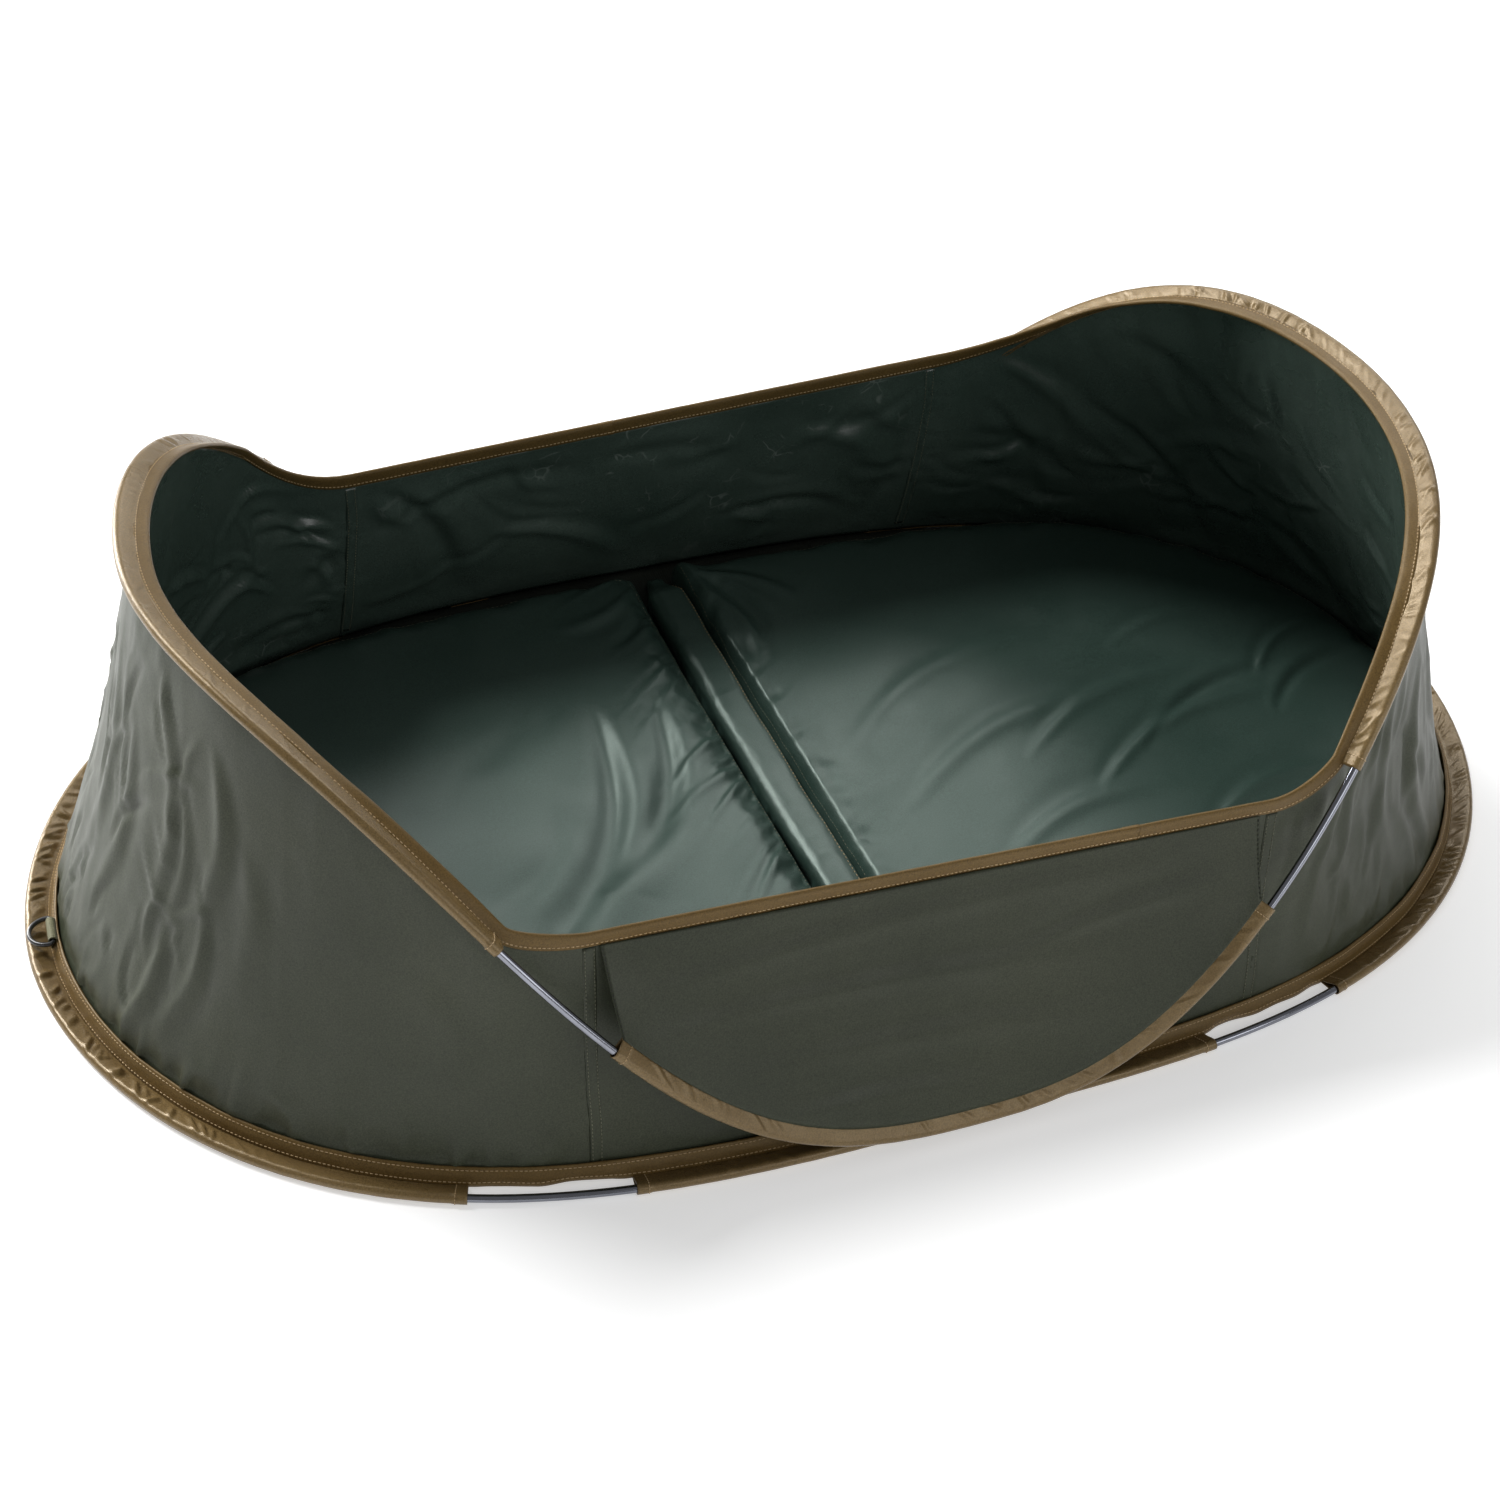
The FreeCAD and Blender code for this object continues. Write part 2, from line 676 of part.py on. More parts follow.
def make_d_ring():
    """A bent-wire D-ring: a straight bar, two tight corners and a half-round bow."""
    corner = size("ring_corner_radius")
    bar = size("ring_inner_width") / 2 + size("ring_wire") / 2 - corner
    bow = bar + corner
    lean = math.sqrt(0.5)

    def at(across, out):
        return Vector(-out, across, 0)

    path = Part.Wire([
        Part.LineSegment(at(-bar, 0), at(bar, 0)).toShape(),
        Part.Arc(at(bar, 0), at(bar + corner * lean, corner * (1 - lean)),
                 at(bow, corner)).toShape(),
        Part.Arc(at(bow, corner), at(0, corner + bow), at(-bow, corner)).toShape(),
        Part.Arc(at(-bow, corner), at(-bar - corner * lean, corner * (1 - lean)),
                 at(-bar, 0)).toShape(),
    ])
    disc = Part.Face(Part.Wire(
        Part.makeCircle(size("ring_wire") / 2, at(-bar, 0), Vector(0, 1, 0))))
    ring = add_shape("d_ring", path.makePipe(disc))
    centre, facing = ring_place()
    droop = FreeCAD.Rotation(Vector(0, 1, 0), -size("ring_droop"))
    ring.Placement = FreeCAD.Placement(centre, facing.multiply(droop))


def make_tab():
    """The folded webbing that holds the D-ring's bar and is sewn down to the hem tape."""
    body = new_body("d_ring_tab")
    sketch = new_sketch(body, "tab_profile", "XZ_Plane")
    inner = size("ring_wire") / 2 + 0.3
    outer = inner + size("webbing_thickness")
    leg = size("webbing_thickness")
    drop = math.sqrt(outer ** 2 - leg ** 2)
    foot = size("ring_bar_z") - HEM_TOP
    sketch.addGeometry(Part.Arc(Vector(-leg, -drop, 0), Vector(0, outer, 0),
                                Vector(leg, -drop, 0)))
    sketch.addGeometry(Part.LineSegment(Vector(leg, -drop, 0), Vector(leg, -foot, 0)))
    sketch.addGeometry(Part.LineSegment(Vector(leg, -foot, 0), Vector(-leg, -foot, 0)))
    sketch.addGeometry(Part.LineSegment(Vector(-leg, -foot, 0), Vector(-leg, -drop, 0)))
    sketch.addGeometry(Part.Circle(Vector(0, 0, 0), UP, inner))
    pad(body, sketch, "tab_pad", "dimensions.tab_width", both_ways=True)
    centre, facing = ring_place()
    body.Placement = FreeCAD.Placement(centre, facing)


make_hoops()
make_sleeves()
for end in ("left", "right"):
    make_end_wall(end)
    make_binding(end)
    make_pad(end)
for name, side in (("front", -1), ("back", 1)):
    make_side_wall(name, side)
    make_flap(name, side)
make_hem_tape()
make_floor()
make_fold_roll()
make_tab()
make_d_ring()
trim_to("back_flap", "rim_binding_right")
trim_to("front_side_wall", "rim_binding_left")
trim_to("left_arch_sleeve", "rim_binding_left")
doc.recompute()

# ---------------------------------------------------------------- checks and export
HELPERS = ("_outside", "_bore")
SUB_PART_TYPES = ("PartDesign::Body", "Part::Feature", "Part::Cut")
sub_parts = [o for o in doc.Objects
             if o.TypeId in SUB_PART_TYPES and not o.Name.endswith(HELPERS)]
for item in doc.Objects:
    if "Invalid" in item.State or "Error" in item.State:
        raise RuntimeError("%s failed: %s" % (item.Name, item.State))
for item in sub_parts:
    if item.Shape.isNull() or not item.Shape.isValid() or item.Shape.Volume <= 0:
        raise RuntimeError("%s has no valid solid" % item.Label)

os.makedirs("parts", exist_ok=True)
for item in sub_parts:
    item.Shape.exportStep("parts/%s.step" % item.Label)
    box = item.Shape.BoundBox
    print("%-20s solids %d  volume %9.0f  x %7.1f..%6.1f  y %7.1f..%6.1f  z %6.1f..%6.1f" % (
        item.Label, len(item.Shape.Solids), item.Shape.Volume,
        box.XMin, box.XMax, box.YMin, box.YMax, box.ZMin, box.ZMax))
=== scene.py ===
import json
import math
import bpy
import numpy as np
from mathutils import Matrix, Vector
from mathutils.bvhtree import BVHTree


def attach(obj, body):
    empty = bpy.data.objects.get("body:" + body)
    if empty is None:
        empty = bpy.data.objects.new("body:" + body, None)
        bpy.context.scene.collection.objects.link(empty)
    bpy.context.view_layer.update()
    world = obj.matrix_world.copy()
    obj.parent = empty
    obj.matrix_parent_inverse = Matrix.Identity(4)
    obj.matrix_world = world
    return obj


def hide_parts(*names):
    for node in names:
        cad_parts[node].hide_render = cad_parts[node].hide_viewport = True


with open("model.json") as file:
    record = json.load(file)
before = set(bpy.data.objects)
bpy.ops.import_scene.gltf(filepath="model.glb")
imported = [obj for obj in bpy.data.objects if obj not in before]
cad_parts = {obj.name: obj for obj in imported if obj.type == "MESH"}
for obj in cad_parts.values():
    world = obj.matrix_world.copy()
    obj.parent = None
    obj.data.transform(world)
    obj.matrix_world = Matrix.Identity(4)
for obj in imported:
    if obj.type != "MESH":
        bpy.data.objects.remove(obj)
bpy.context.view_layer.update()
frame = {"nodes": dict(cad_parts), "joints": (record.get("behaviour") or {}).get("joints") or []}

# A pop-up padded cradle: coated nylon walls on two sprung steel hoops, round a padded floor.
# Metres, in the CAD frame: +X along the cradle, +Y towards the back long side, +Z up.

# ---------------------------------------------------------------- sizes
MM = 0.001
UP = np.array([0.0, 0.0, 1.0])
END_SIGN = {"left": -1, "right": 1}
SIDE_SIGN = {"front": -1, "back": 1}

HEM_REACH = 600 * MM
HEM_HALF_WIDTH = 357 * MM
HEM_POWERS = (3.2, 1.87)
RIM_REACH = {"left": 504 * MM, "right": 480 * MM}
RIM_TOP = {"left": 338 * MM, "right": 322 * MM}
RIM_RISE_POWER = {"left": 1.42, "right": 1.28}
RIM_HALF_WIDTH = 365 * MM
RIM_LOW = 13.2 * MM
RIM_POWERS = (2.54, 1.85)
FLANGE_SLOPE = math.radians(-12)

SLEEVE_RADIUS = 4.2 * MM
SLEEVE_TAIL = 14 * MM
SEAM_OFFSET = 10.5 * MM
TAPE_OUTER_INSET = 18.7 * MM
TAPE_INNER_INSET = 23.6 * MM
TAPE_TOP = 3 * MM
WALL_FOOT_INSET = 22.5 * MM
WALL_HOLLOW = {"front": 1.5 * MM, "back": 8 * MM, "left": 5 * MM, "right": 5 * MM}
BINDING_WIDTH = 11.5 * MM
BINDING_THICKNESS = 3 * MM
SEAM_X = {"left": -273 * MM, "right": 245 * MM}
RIM_SEAM_Y = (280 * MM, 296 * MM)
RIM_SEAM_Z = {"front": (190 * MM, 182 * MM), "back": (183 * MM, 193 * MM)}

HEM_END_SLEEVE_X = {"left": -368 * MM, "right": 323 * MM}
HEM_SIDE_SLEEVE_X = (-254 * MM, 204 * MM)
ARCH_SLEEVE_X = {"left": -338 * MM, "right": 311 * MM}
FLAP_SLEEVE_X = (-268 * MM, 236 * MM)
BACK_LEAVE = 34 * MM
BINDING_JOIN_X = {"front": 125 * MM, "back": -60 * MM}

PAD_INSET = 29.5 * MM
PAD_WAIST = 20 * MM
PAD_BASE = 2.6 * MM
PAD_TOP = 21.5 * MM
PAD_CEILING = 30 * MM
ROLL_HALF_WIDTH = 17 * MM
ROLL_HALF_LENGTH = 302 * MM


# ---------------------------------------------------------------- small tools
def unit(v):
    return v / np.maximum(np.linalg.norm(v, axis=-1, keepdims=True), 1e-12)


def smoothstep(x):
    x = np.clip(x, 0, 1)
    return x * x * (3 - 2 * x)


def value_noise(x, y, seed):
    """Smooth noise from -1 to 1 that has one free value per unit cell."""
    table = np.random.default_rng(seed).uniform(-1, 1, (97, 97))
    column, row = np.floor(x).astype(int), np.floor(y).astype(int)
    right, top = smoothstep(x - column), smoothstep(y - row)

    def at(i, j):
        return table[(column + i) % 97, (row + j) % 97]

    low = at(0, 0) * (1 - right) + at(1, 0) * right
    high = at(0, 1) * (1 - right) + at(1, 1) * right
    return low * (1 - top) + high * top


def crinkle(x, y, seed):
    """Creased noise from 0 to 1, with sharp crests as in stiff coated cloth."""
    coarse = 1 - np.abs(value_noise(x, y, seed))
    fine = 1 - np.abs(value_noise(2.3 * x + 7, 2.3 * y + 3, seed + 1))
    return 0.65 * coarse ** 3 + 0.35 * fine ** 3


def fold_relief(u, v, folds, bow=0.12):
    """Height of a list of folds: each is start, end, width and height, in metres.

    bow is how far a fold curves aside, as a share of its length.
    """
    relief = np.zeros_like(u)
    for (u0, v0), (u1, v1), width, height in folds:
        along = np.array([u1 - u0, v1 - v0])
        length = np.linalg.norm(along)
        share = ((u - u0) * along[0] + (v - v0) * along[1]) / length ** 2
        bend = bow * length * np.sin(math.pi * np.clip(share, 0, 1))
        aside = ((v - v0) * along[0] - (u - u0) * along[1]) / length - bend
        taper = np.sin(math.pi * np.clip(share, 0, 1)) ** 0.8
        spread = width * (0.6 + 0.6 * np.clip(share, 0, 1))
        crest = np.exp(-(aside / spread) ** 2)
        trough = np.exp(-((aside - 1.7 * spread) / (1.3 * spread)) ** 2)
        relief += height * taper * (crest - 0.45 * trough)
    return relief


def scattered_folds(seed, count, region, angle, spread, lengths, width, height):
    """Small folds strewn over a region (u0, v0, u1, v1), about one direction."""
    rng = np.random.default_rng(seed)
    folds = []
    for _ in range(count):
        u, v = rng.uniform(region[0], region[2]), rng.uniform(region[1], region[3])
        lean = math.radians(angle + rng.normal(0, spread))
        reach = rng.uniform(*lengths) / 2
        du, dv = reach * math.cos(lean), reach * math.sin(lean)
        size = rng.uniform(0.4, 1.0)
        folds.append(((u - du, v - dv), (u + du, v + dv), width * (0.5 + size),
                      height * size * rng.choice([-1, 1])))
    return folds


def lengths_along(points):
    steps = np.linalg.norm(np.diff(points, axis=0), axis=1)
    return np.concatenate([[0], np.cumsum(steps)])


def resample(points, step, *others):
    """A line again with even steps, and other values that go with its points."""
    run = lengths_along(points)
    at = np.linspace(0, run[-1], max(2, round(run[-1] / step) + 1))
    made = []
    for values in (points, *others):
        columns = values.reshape(len(run), -1)
        made.append(np.stack([np.interp(at, run, c) for c in columns.T], -1))
    return made if others else made[0]


# ---------------------------------------------------------------- the CAD's curves
def hem_outline(turn):
    along = np.cos(turn)
    across = np.maximum(0, 1 - np.abs(along) ** HEM_POWERS[0]) ** (1 / HEM_POWERS[1])
    return np.stack([HEM_REACH * along, HEM_HALF_WIDTH * across * np.sign(np.sin(turn)),
                     0 * along], -1)


def inward_of(curve, turn):
    """The horizontal direction from a curve towards the inside."""
    tangent = curve(turn + 0.01) - curve(turn - 0.01)
    return unit(np.stack([-tangent[..., 1], tangent[..., 0], 0 * tangent[..., 0]], -1))


def hem(turn, inset=0.0, height=0.0):
    return hem_outline(turn) + inward_of(hem_outline, turn) * inset + UP * height


def hem_wire(turn):
    return hem(turn, SLEEVE_RADIUS, SLEEVE_RADIUS)


def rim_wire(turn):
    along = np.cos(turn)
    left = along < 0

    def pick(table):
        return np.where(left, table["left"], table["right"])

    across = np.maximum(0, 1 - np.abs(along) ** RIM_POWERS[0]) ** (1 / RIM_POWERS[1])
    rise = (1 - np.cos(math.pi * np.abs(along) ** pick(RIM_RISE_POWER))) / 2
    return np.stack([pick(RIM_REACH) * along, RIM_HALF_WIDTH * across * np.sign(np.sin(turn)),
                     RIM_LOW + (pick(RIM_TOP) - RIM_LOW) * rise], -1)


def tangent_of(curve, turn):
    return unit(curve(turn + 0.01) - curve(turn - 0.01))


def flange_direction(turn):
    """The direction of the flat strip that an arch's sleeve and binding form."""
    inward = inward_of(rim_wire, turn)
    upward = np.cross(inward, tangent_of(rim_wire, turn))
    upward = upward * np.where(upward[..., 2:] < 0, -1, 1)
    return unit(inward * math.cos(FLANGE_SLOPE) + upward * math.sin(FLANGE_SLOPE))


def rim_seam(turn):
    return rim_wire(turn) + flange_direction(turn) * SEAM_OFFSET


def side_seam(x, side):
    """Where wall and binding are sewn together along a long side."""
    x = np.asarray(x, float)
    share = (x - SEAM_X["left"]) / (SEAM_X["right"] - SEAM_X["left"])
    y = RIM_SEAM_Y[0] * (1 - share) + RIM_SEAM_Y[1] * share
    front, back = (low * (1 - share) + high * share
                   for low, high in (RIM_SEAM_Z["front"], RIM_SEAM_Z["back"]))
    z = np.where(np.asarray(side) < 0, front, back)
    return np.stack([x, side * y, z], -1)


def even_turns(curve, span, step):
    """Turns that divide a stretch of a curve into equal steps."""
    turns = np.linspace(*span, 1500)
    run = lengths_along(curve(turns))
    count = max(2, round(run[-1] / step) + 1)
    return np.interp(np.linspace(0, run[-1], count), run, turns)


def span_round(end, x, reach):
    """The first and last turn of a stretch that goes round one end from x to x."""
    turn = math.acos(x / reach)
    return (turn, 2 * math.pi - turn) if end == "left" else (-turn, turn)


def side_span(xs, side, reaches):
    """The turns of a stretch along one long side."""
    turns = [side * math.acos(x / reach) for x, reach in zip(xs, reaches)]
    return min(turns), max(turns)


def rim_path(end, reach_along_sides, step):
    """The rim seam round one end: its points, inward directions and how upright the binding is.

    It runs along the long side from reach_along_sides[0], round the arch, and back.
    """
    first_side = -END_SIGN[end]
    seam_x = SEAM_X[end]
    arch = even_turns(rim_wire, span_round(end, ARCH_SLEEVE_X[end], RIM_REACH[end]), 4 * MM)
    bound = np.abs(RIM_REACH[end] * np.cos(arch)) > abs(ARCH_SLEEVE_X[end]) + BACK_LEAVE
    arch = arch[bound | (np.sin(arch) < 0)]
    crown = rim_seam(arch)
    crown_in = inward_of(rim_wire, arch)
    run = lengths_along(crown)
    from_end = np.minimum(run, run[-1] - run)
    crown_up = np.interp(from_end, [0, 75 * MM, 150 * MM], [0.62, 0.25, 0.0])
    parts = [(crown, crown_in, crown_up)]
    for at_start, x_far in ((True, reach_along_sides[0]), (False, reach_along_sides[1])):
        side = first_side if at_start else -first_side
        corner = crown[0] if at_start else crown[-1]
        leave = unit(crown[0] - crown[1]) if at_start else unit(crown[-1] - crown[-2])
        seam = side_seam(seam_x, side)
        along = unit(side_seam(seam_x, side) - side_seam(seam_x + END_SIGN[end] * 0.01, side))
        gap = np.linalg.norm(seam - corner)
        t = np.linspace(0, 1, 15)[1:, None]
        bridge = ((2 * t**3 - 3 * t**2 + 1) * corner + (t**3 - 2 * t**2 + t) * 0.35 * gap * leave
                  + (3 * t**2 - 2 * t**3) * seam + (t**3 - t**2) * 1.25 * gap * along)
        inward = crown_in[0] if at_start else crown_in[-1]
        flat_in = np.array([0.0, -side, 0.0])
        bridge_in = unit(inward * (1 - t) + flat_in * t)
        bridge_up = 0.62 + 0.38 * t[:, 0]
        straight = np.zeros((0, 3))
        if abs(x_far - seam_x) > step:
            xs = np.linspace(seam_x, x_far, 60)[1:]
            straight = side_seam(xs, side)
        points = np.concatenate([bridge, straight])
        ins = np.concatenate([bridge_in, np.tile(flat_in, (len(straight), 1))])
        ups = np.concatenate([bridge_up, np.ones(len(straight))])
        if at_start:
            parts.insert(0, (points[::-1], ins[::-1], ups[::-1]))
        else:
            parts.append((points, ins, ups))
    points, ins, ups = (np.concatenate(column) for column in zip(*parts))
    points, ins, ups = resample(points, step, ins, ups)
    return points, unit(ins), ups[:, 0]


# ---------------------------------------------------------------- meshes
def grid_normals(points, loop):
    """Normals of a grid of points (rows, columns, 3); loop closes it along its columns."""
    if loop:
        wide = np.concatenate([points[:, -1:], points, points[:, :1]], 1)
        along = np.gradient(wide, axis=1)[:, 1:-1]
    else:
        along = np.gradient(points, axis=1)
    across = np.gradient(points, axis=0)
    return unit(np.cross(along, across))


def grid_faces(rows, columns, loop):
    quads = []
    for i in range(rows - 1):
        for j in range(columns if loop else columns - 1):
            k = (j + 1) % columns
            quads.append((i * columns + j, i * columns + k,
                          (i + 1) * columns + k, (i + 1) * columns + j))
    return quads


def linked(name, data):
    """A new object in the scene for a mesh, a camera or a light."""
    made = bpy.data.objects.new(name, data)
    bpy.context.scene.collection.objects.link(made)
    return made


def applied(thing):
    """An object's mesh with its modifiers applied."""
    depsgraph = bpy.context.evaluated_depsgraph_get()
    return bpy.data.meshes.new_from_object(thing.evaluated_get(depsgraph))


def corner_points(mesh):
    """The places of a mesh's corners, one row each."""
    places = np.zeros(len(mesh.vertices) * 3)
    mesh.vertices.foreach_get("co", places)
    return places.reshape(-1, 3)


def mesh_object(name, points, faces, uv, materials):
    """A smooth mesh piece that rides on the cradle, with a map of its cloth in metres."""
    mesh = bpy.data.meshes.new(name)
    mesh.from_pydata(points.tolist(), [], faces)
    layer = mesh.uv_layers.new(name="Cloth")
    corners = np.zeros(len(mesh.loops), int)
    mesh.loops.foreach_get("vertex_index", corners)
    layer.data.foreach_set("uv", uv[corners].astype(np.float32).ravel())
    mesh.shade_smooth()
    for material in materials:
        mesh.materials.append(material)
    made = linked(name, mesh)
    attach(made, "cradle")
    return made


def cloth_grid(name, points, materials, thickness, loop=False):
    """A sheet of cloth through a grid of points, with its thickness."""
    rows, columns = points.shape[:2]
    u = np.tile(lengths_along(points[rows // 2]), (rows, 1))
    v = np.tile(lengths_along(points[:, columns // 2])[:, None], (1, columns))
    uv = np.stack([u, v], -1).reshape(-1, 2)
    made = mesh_object(name, points.reshape(-1, 3), grid_faces(rows, columns, loop), uv,
                       materials)
    shell = made.modifiers.new("thickness", "SOLIDIFY")
    shell.thickness = thickness
    shell.offset = 0
    if len(materials) > 1:
        shell.material_offset = 1
    return made


STITCH_RINGS = ((-1.0, 0.30, -0.7), (-0.55, 1.0, 0.1), (0.55, 1.0, 0.1), (1.0, 0.30, -0.7))
STITCH_SIDES = 5


def stitches(name, runs, material, pitch=3.4 * MM, share=0.74, radius=0.34 * MM):
    """Thread stitches along lines: runs is a list of (points, normals)."""
    corners, faces = [], []
    for points, normals in runs:
        points, normals = resample(points, pitch / 2, normals)
        normals = unit(normals)
        starts = points[0:-1:2]
        ends = points[1::2][:len(starts)]
        starts = starts[:len(ends)]
        ups = normals[0:-1:2][:len(starts)]
        middles = (starts + ends) / 2
        along = unit(ends - starts)
        sides = unit(np.cross(along, ups))
        ups = np.cross(sides, along)
        for m, a, s, n in zip(middles, along, sides, ups):
            base = len(corners)
            for where, thick, height in STITCH_RINGS:
                centre = m + a * (where * share * pitch / 2) + n * (height * radius)
                for k in range(STITCH_SIDES):
                    angle = 2 * math.pi * k / STITCH_SIDES
                    corners.append(centre + (s * math.cos(angle) + n * math.sin(angle))
                                   * radius * thick)
            for ring in range(len(STITCH_RINGS) - 1):
                low = base + ring * STITCH_SIDES
                for k in range(STITCH_SIDES):
                    j = (k + 1) % STITCH_SIDES
                    faces.append((low + k, low + STITCH_SIDES + k,
                                  low + STITCH_SIDES + j, low + j))
            last = base + (len(STITCH_RINGS) - 1) * STITCH_SIDES
            faces.append(tuple(base + k for k in range(STITCH_SIDES)))
            faces.append(tuple(last + k for k in reversed(range(STITCH_SIDES))))
    corners = np.array(corners)
    return mesh_object(name, corners, faces, corners[:, :2], [material])


# ---------------------------------------------------------------- materials
def add_node(tree, kind, inputs=(), **settings):
    made = tree.nodes.new(kind)
    for key, value in settings.items():
        setattr(made, key, value)
    for key, value in dict(inputs).items():
        if isinstance(value, bpy.types.NodeSocket):
            tree.links.new(value, made.inputs[key])
        else:
            made.inputs[key].default_value = value
    return made


def new_material(name, sockets):
    material = bpy.data.materials.new(name)
    material.use_nodes = True
    shader = material.node_tree.nodes["Principled BSDF"]
    for key, value in sockets.items():
        shader.inputs[key].default_value = value
    return material, material.node_tree, shader


def mixed_colour(tree, factor, first, second):
    mix = add_node(tree, "ShaderNodeMix", data_type="RGBA")
    tree.links.new(factor, mix.inputs["Factor"])
    mix.inputs[6].default_value = (*first, 1)
    mix.inputs[7].default_value = (*second, 1)
    return mix.outputs[2]


def noise_value(tree, vector, scale, low, high, detail=3.0, stretch=None):
    """Noise with its range from low to high spread over 0 to 1."""
    if stretch:
        vector = add_node(tree, "ShaderNodeMapping",
                          {"Vector": vector, "Scale": stretch}).outputs["Vector"]
    noise = add_node(tree, "ShaderNodeTexNoise",
                     {"Vector": vector, "Scale": scale, "Detail": detail})
    spread = add_node(tree, "ShaderNodeMapRange",
                      {"Value": noise.outputs["Fac"], "From Min": low, "From Max": high})
    return spread.outputs["Result"]


def weave_height(tree, vector, pitch):
    """Threads over and under each other, from two crossed waves."""
    waves = []
    for direction in ("X", "Y"):
        wave = add_node(tree, "ShaderNodeTexWave", {"Vector": vector, "Scale": 0.314 / pitch},
                        bands_direction=direction)
        waves.append(wave.outputs["Fac"])
    return add_node(tree, "ShaderNodeMath", {0: waves[0], 1: waves[1]},
                    operation="MULTIPLY").outputs[0]


def cloth_material(name, dark, light, sockets, weave=0.7 * MM, weave_depth=0.05 * MM,
                   crease_scale=45.0, crease_depth=0.3 * MM, scuffs=None):
    """Woven cloth: two near colours, a weave, fine creases, and scuffs if it has any."""
    material, tree, shader = new_material(name, sockets)
    cloth = add_node(tree, "ShaderNodeUVMap", uv_map="Cloth").outputs["UV"]
    place = add_node(tree, "ShaderNodeTexCoord").outputs["Object"]
    patches = noise_value(tree, place, 9.0, 0.3, 0.7)
    colour = mixed_colour(tree, patches, dark, light)
    grain = noise_value(tree, place, 900.0, 0.25, 0.75, 2.0)
    mix = add_node(tree, "ShaderNodeMix", {"Factor": 0.35}, data_type="RGBA",
                   blend_type="OVERLAY")
    tree.links.new(colour, mix.inputs[6])
    tree.links.new(grain, mix.inputs[7])
    colour = mix.outputs[2]
    if scuffs:
        bend = add_node(tree, "ShaderNodeTexNoise",
                        {"Vector": place, "Scale": 22.0, "Detail": 3.0})
        bent = add_node(tree, "ShaderNodeMix", {"Factor": 0.025}, data_type="VECTOR")
        tree.links.new(place, bent.inputs[4])
        tree.links.new(bend.outputs["Color"], bent.inputs[5])
        cracks = add_node(tree, "ShaderNodeTexVoronoi",
                          {"Vector": bent.outputs[1], "Scale": 60.0},
                          feature="DISTANCE_TO_EDGE")
        lines = add_node(tree, "ShaderNodeMapRange",
                         {"Value": cracks.outputs["Distance"], "From Min": 0.045,
                          "From Max": 0.012})
        some = noise_value(tree, place, 34.0, 0.56, 0.64, 2.0)
        region = noise_value(tree, place, 5.0, 0.52, 0.64, 1.0)
        both = add_node(tree, "ShaderNodeMath", {0: lines.outputs["Result"], 1: some},
                        operation="MULTIPLY")
        both = add_node(tree, "ShaderNodeMath", {0: both.outputs[0], 1: region},
                        operation="MULTIPLY")
        faint = add_node(tree, "ShaderNodeMath", {0: both.outputs[0], 1: 0.55},
                         operation="MULTIPLY")
        mix = add_node(tree, "ShaderNodeMix", data_type="RGBA")
        tree.links.new(faint.outputs[0], mix.inputs["Factor"])
        tree.links.new(colour, mix.inputs[6])
        mix.inputs[7].default_value = (*scuffs, 1)
        colour = mix.outputs[2]
    tree.links.new(colour, shader.inputs["Base Color"])
    rough = sockets["Roughness"]
    worn = noise_value(tree, place, 22.0, 0.3, 0.7)
    wear = add_node(tree, "ShaderNodeMapRange",
                    {"Value": worn, "To Min": rough - 0.05, "To Max": rough + 0.06})
    tree.links.new(wear.outputs["Result"], shader.inputs["Roughness"])
    creases = noise_value(tree, place, crease_scale, 0.0, 1.0, 3.0)
    bumped = add_node(tree, "ShaderNodeBump",
                      {"Height": creases, "Distance": crease_depth, "Strength": 1.0})
    threads = weave_height(tree, cloth, weave)
    woven = add_node(tree, "ShaderNodeBump",
                     {"Height": threads, "Distance": weave_depth, "Strength": 1.0,
                      "Normal": bumped.outputs["Normal"]})
    tree.links.new(woven.outputs["Normal"], shader.inputs["Normal"])
    return material


def steel_material(name, colour, roughness, streak_depth):
    """Drawn steel, with fine lines and small changes of polish."""
    material, tree, shader = new_material(name, {"Metallic": 1.0, "Roughness": roughness,
                                                 "Base Color": (*colour, 1)})
    place = add_node(tree, "ShaderNodeTexCoord").outputs["Object"]
    shade = noise_value(tree, place, 40.0, 0.3, 0.7)
    dull = tuple(0.8 * c for c in colour)
    tree.links.new(mixed_colour(tree, shade, colour, dull), shader.inputs["Base Color"])
    polish = add_node(tree, "ShaderNodeMapRange",
                      {"Value": shade, "To Min": roughness, "To Max": roughness + 0.08})
    tree.links.new(polish.outputs["Result"], shader.inputs["Roughness"])
    lines = noise_value(tree, place, 500.0, 0.2, 0.8, 2.0, (0.05, 1.0, 1.0))
    bump = add_node(tree, "ShaderNodeBump", {"Height": lines, "Distance": streak_depth})
    tree.links.new(bump.outputs["Normal"], shader.inputs["Normal"])
    return material


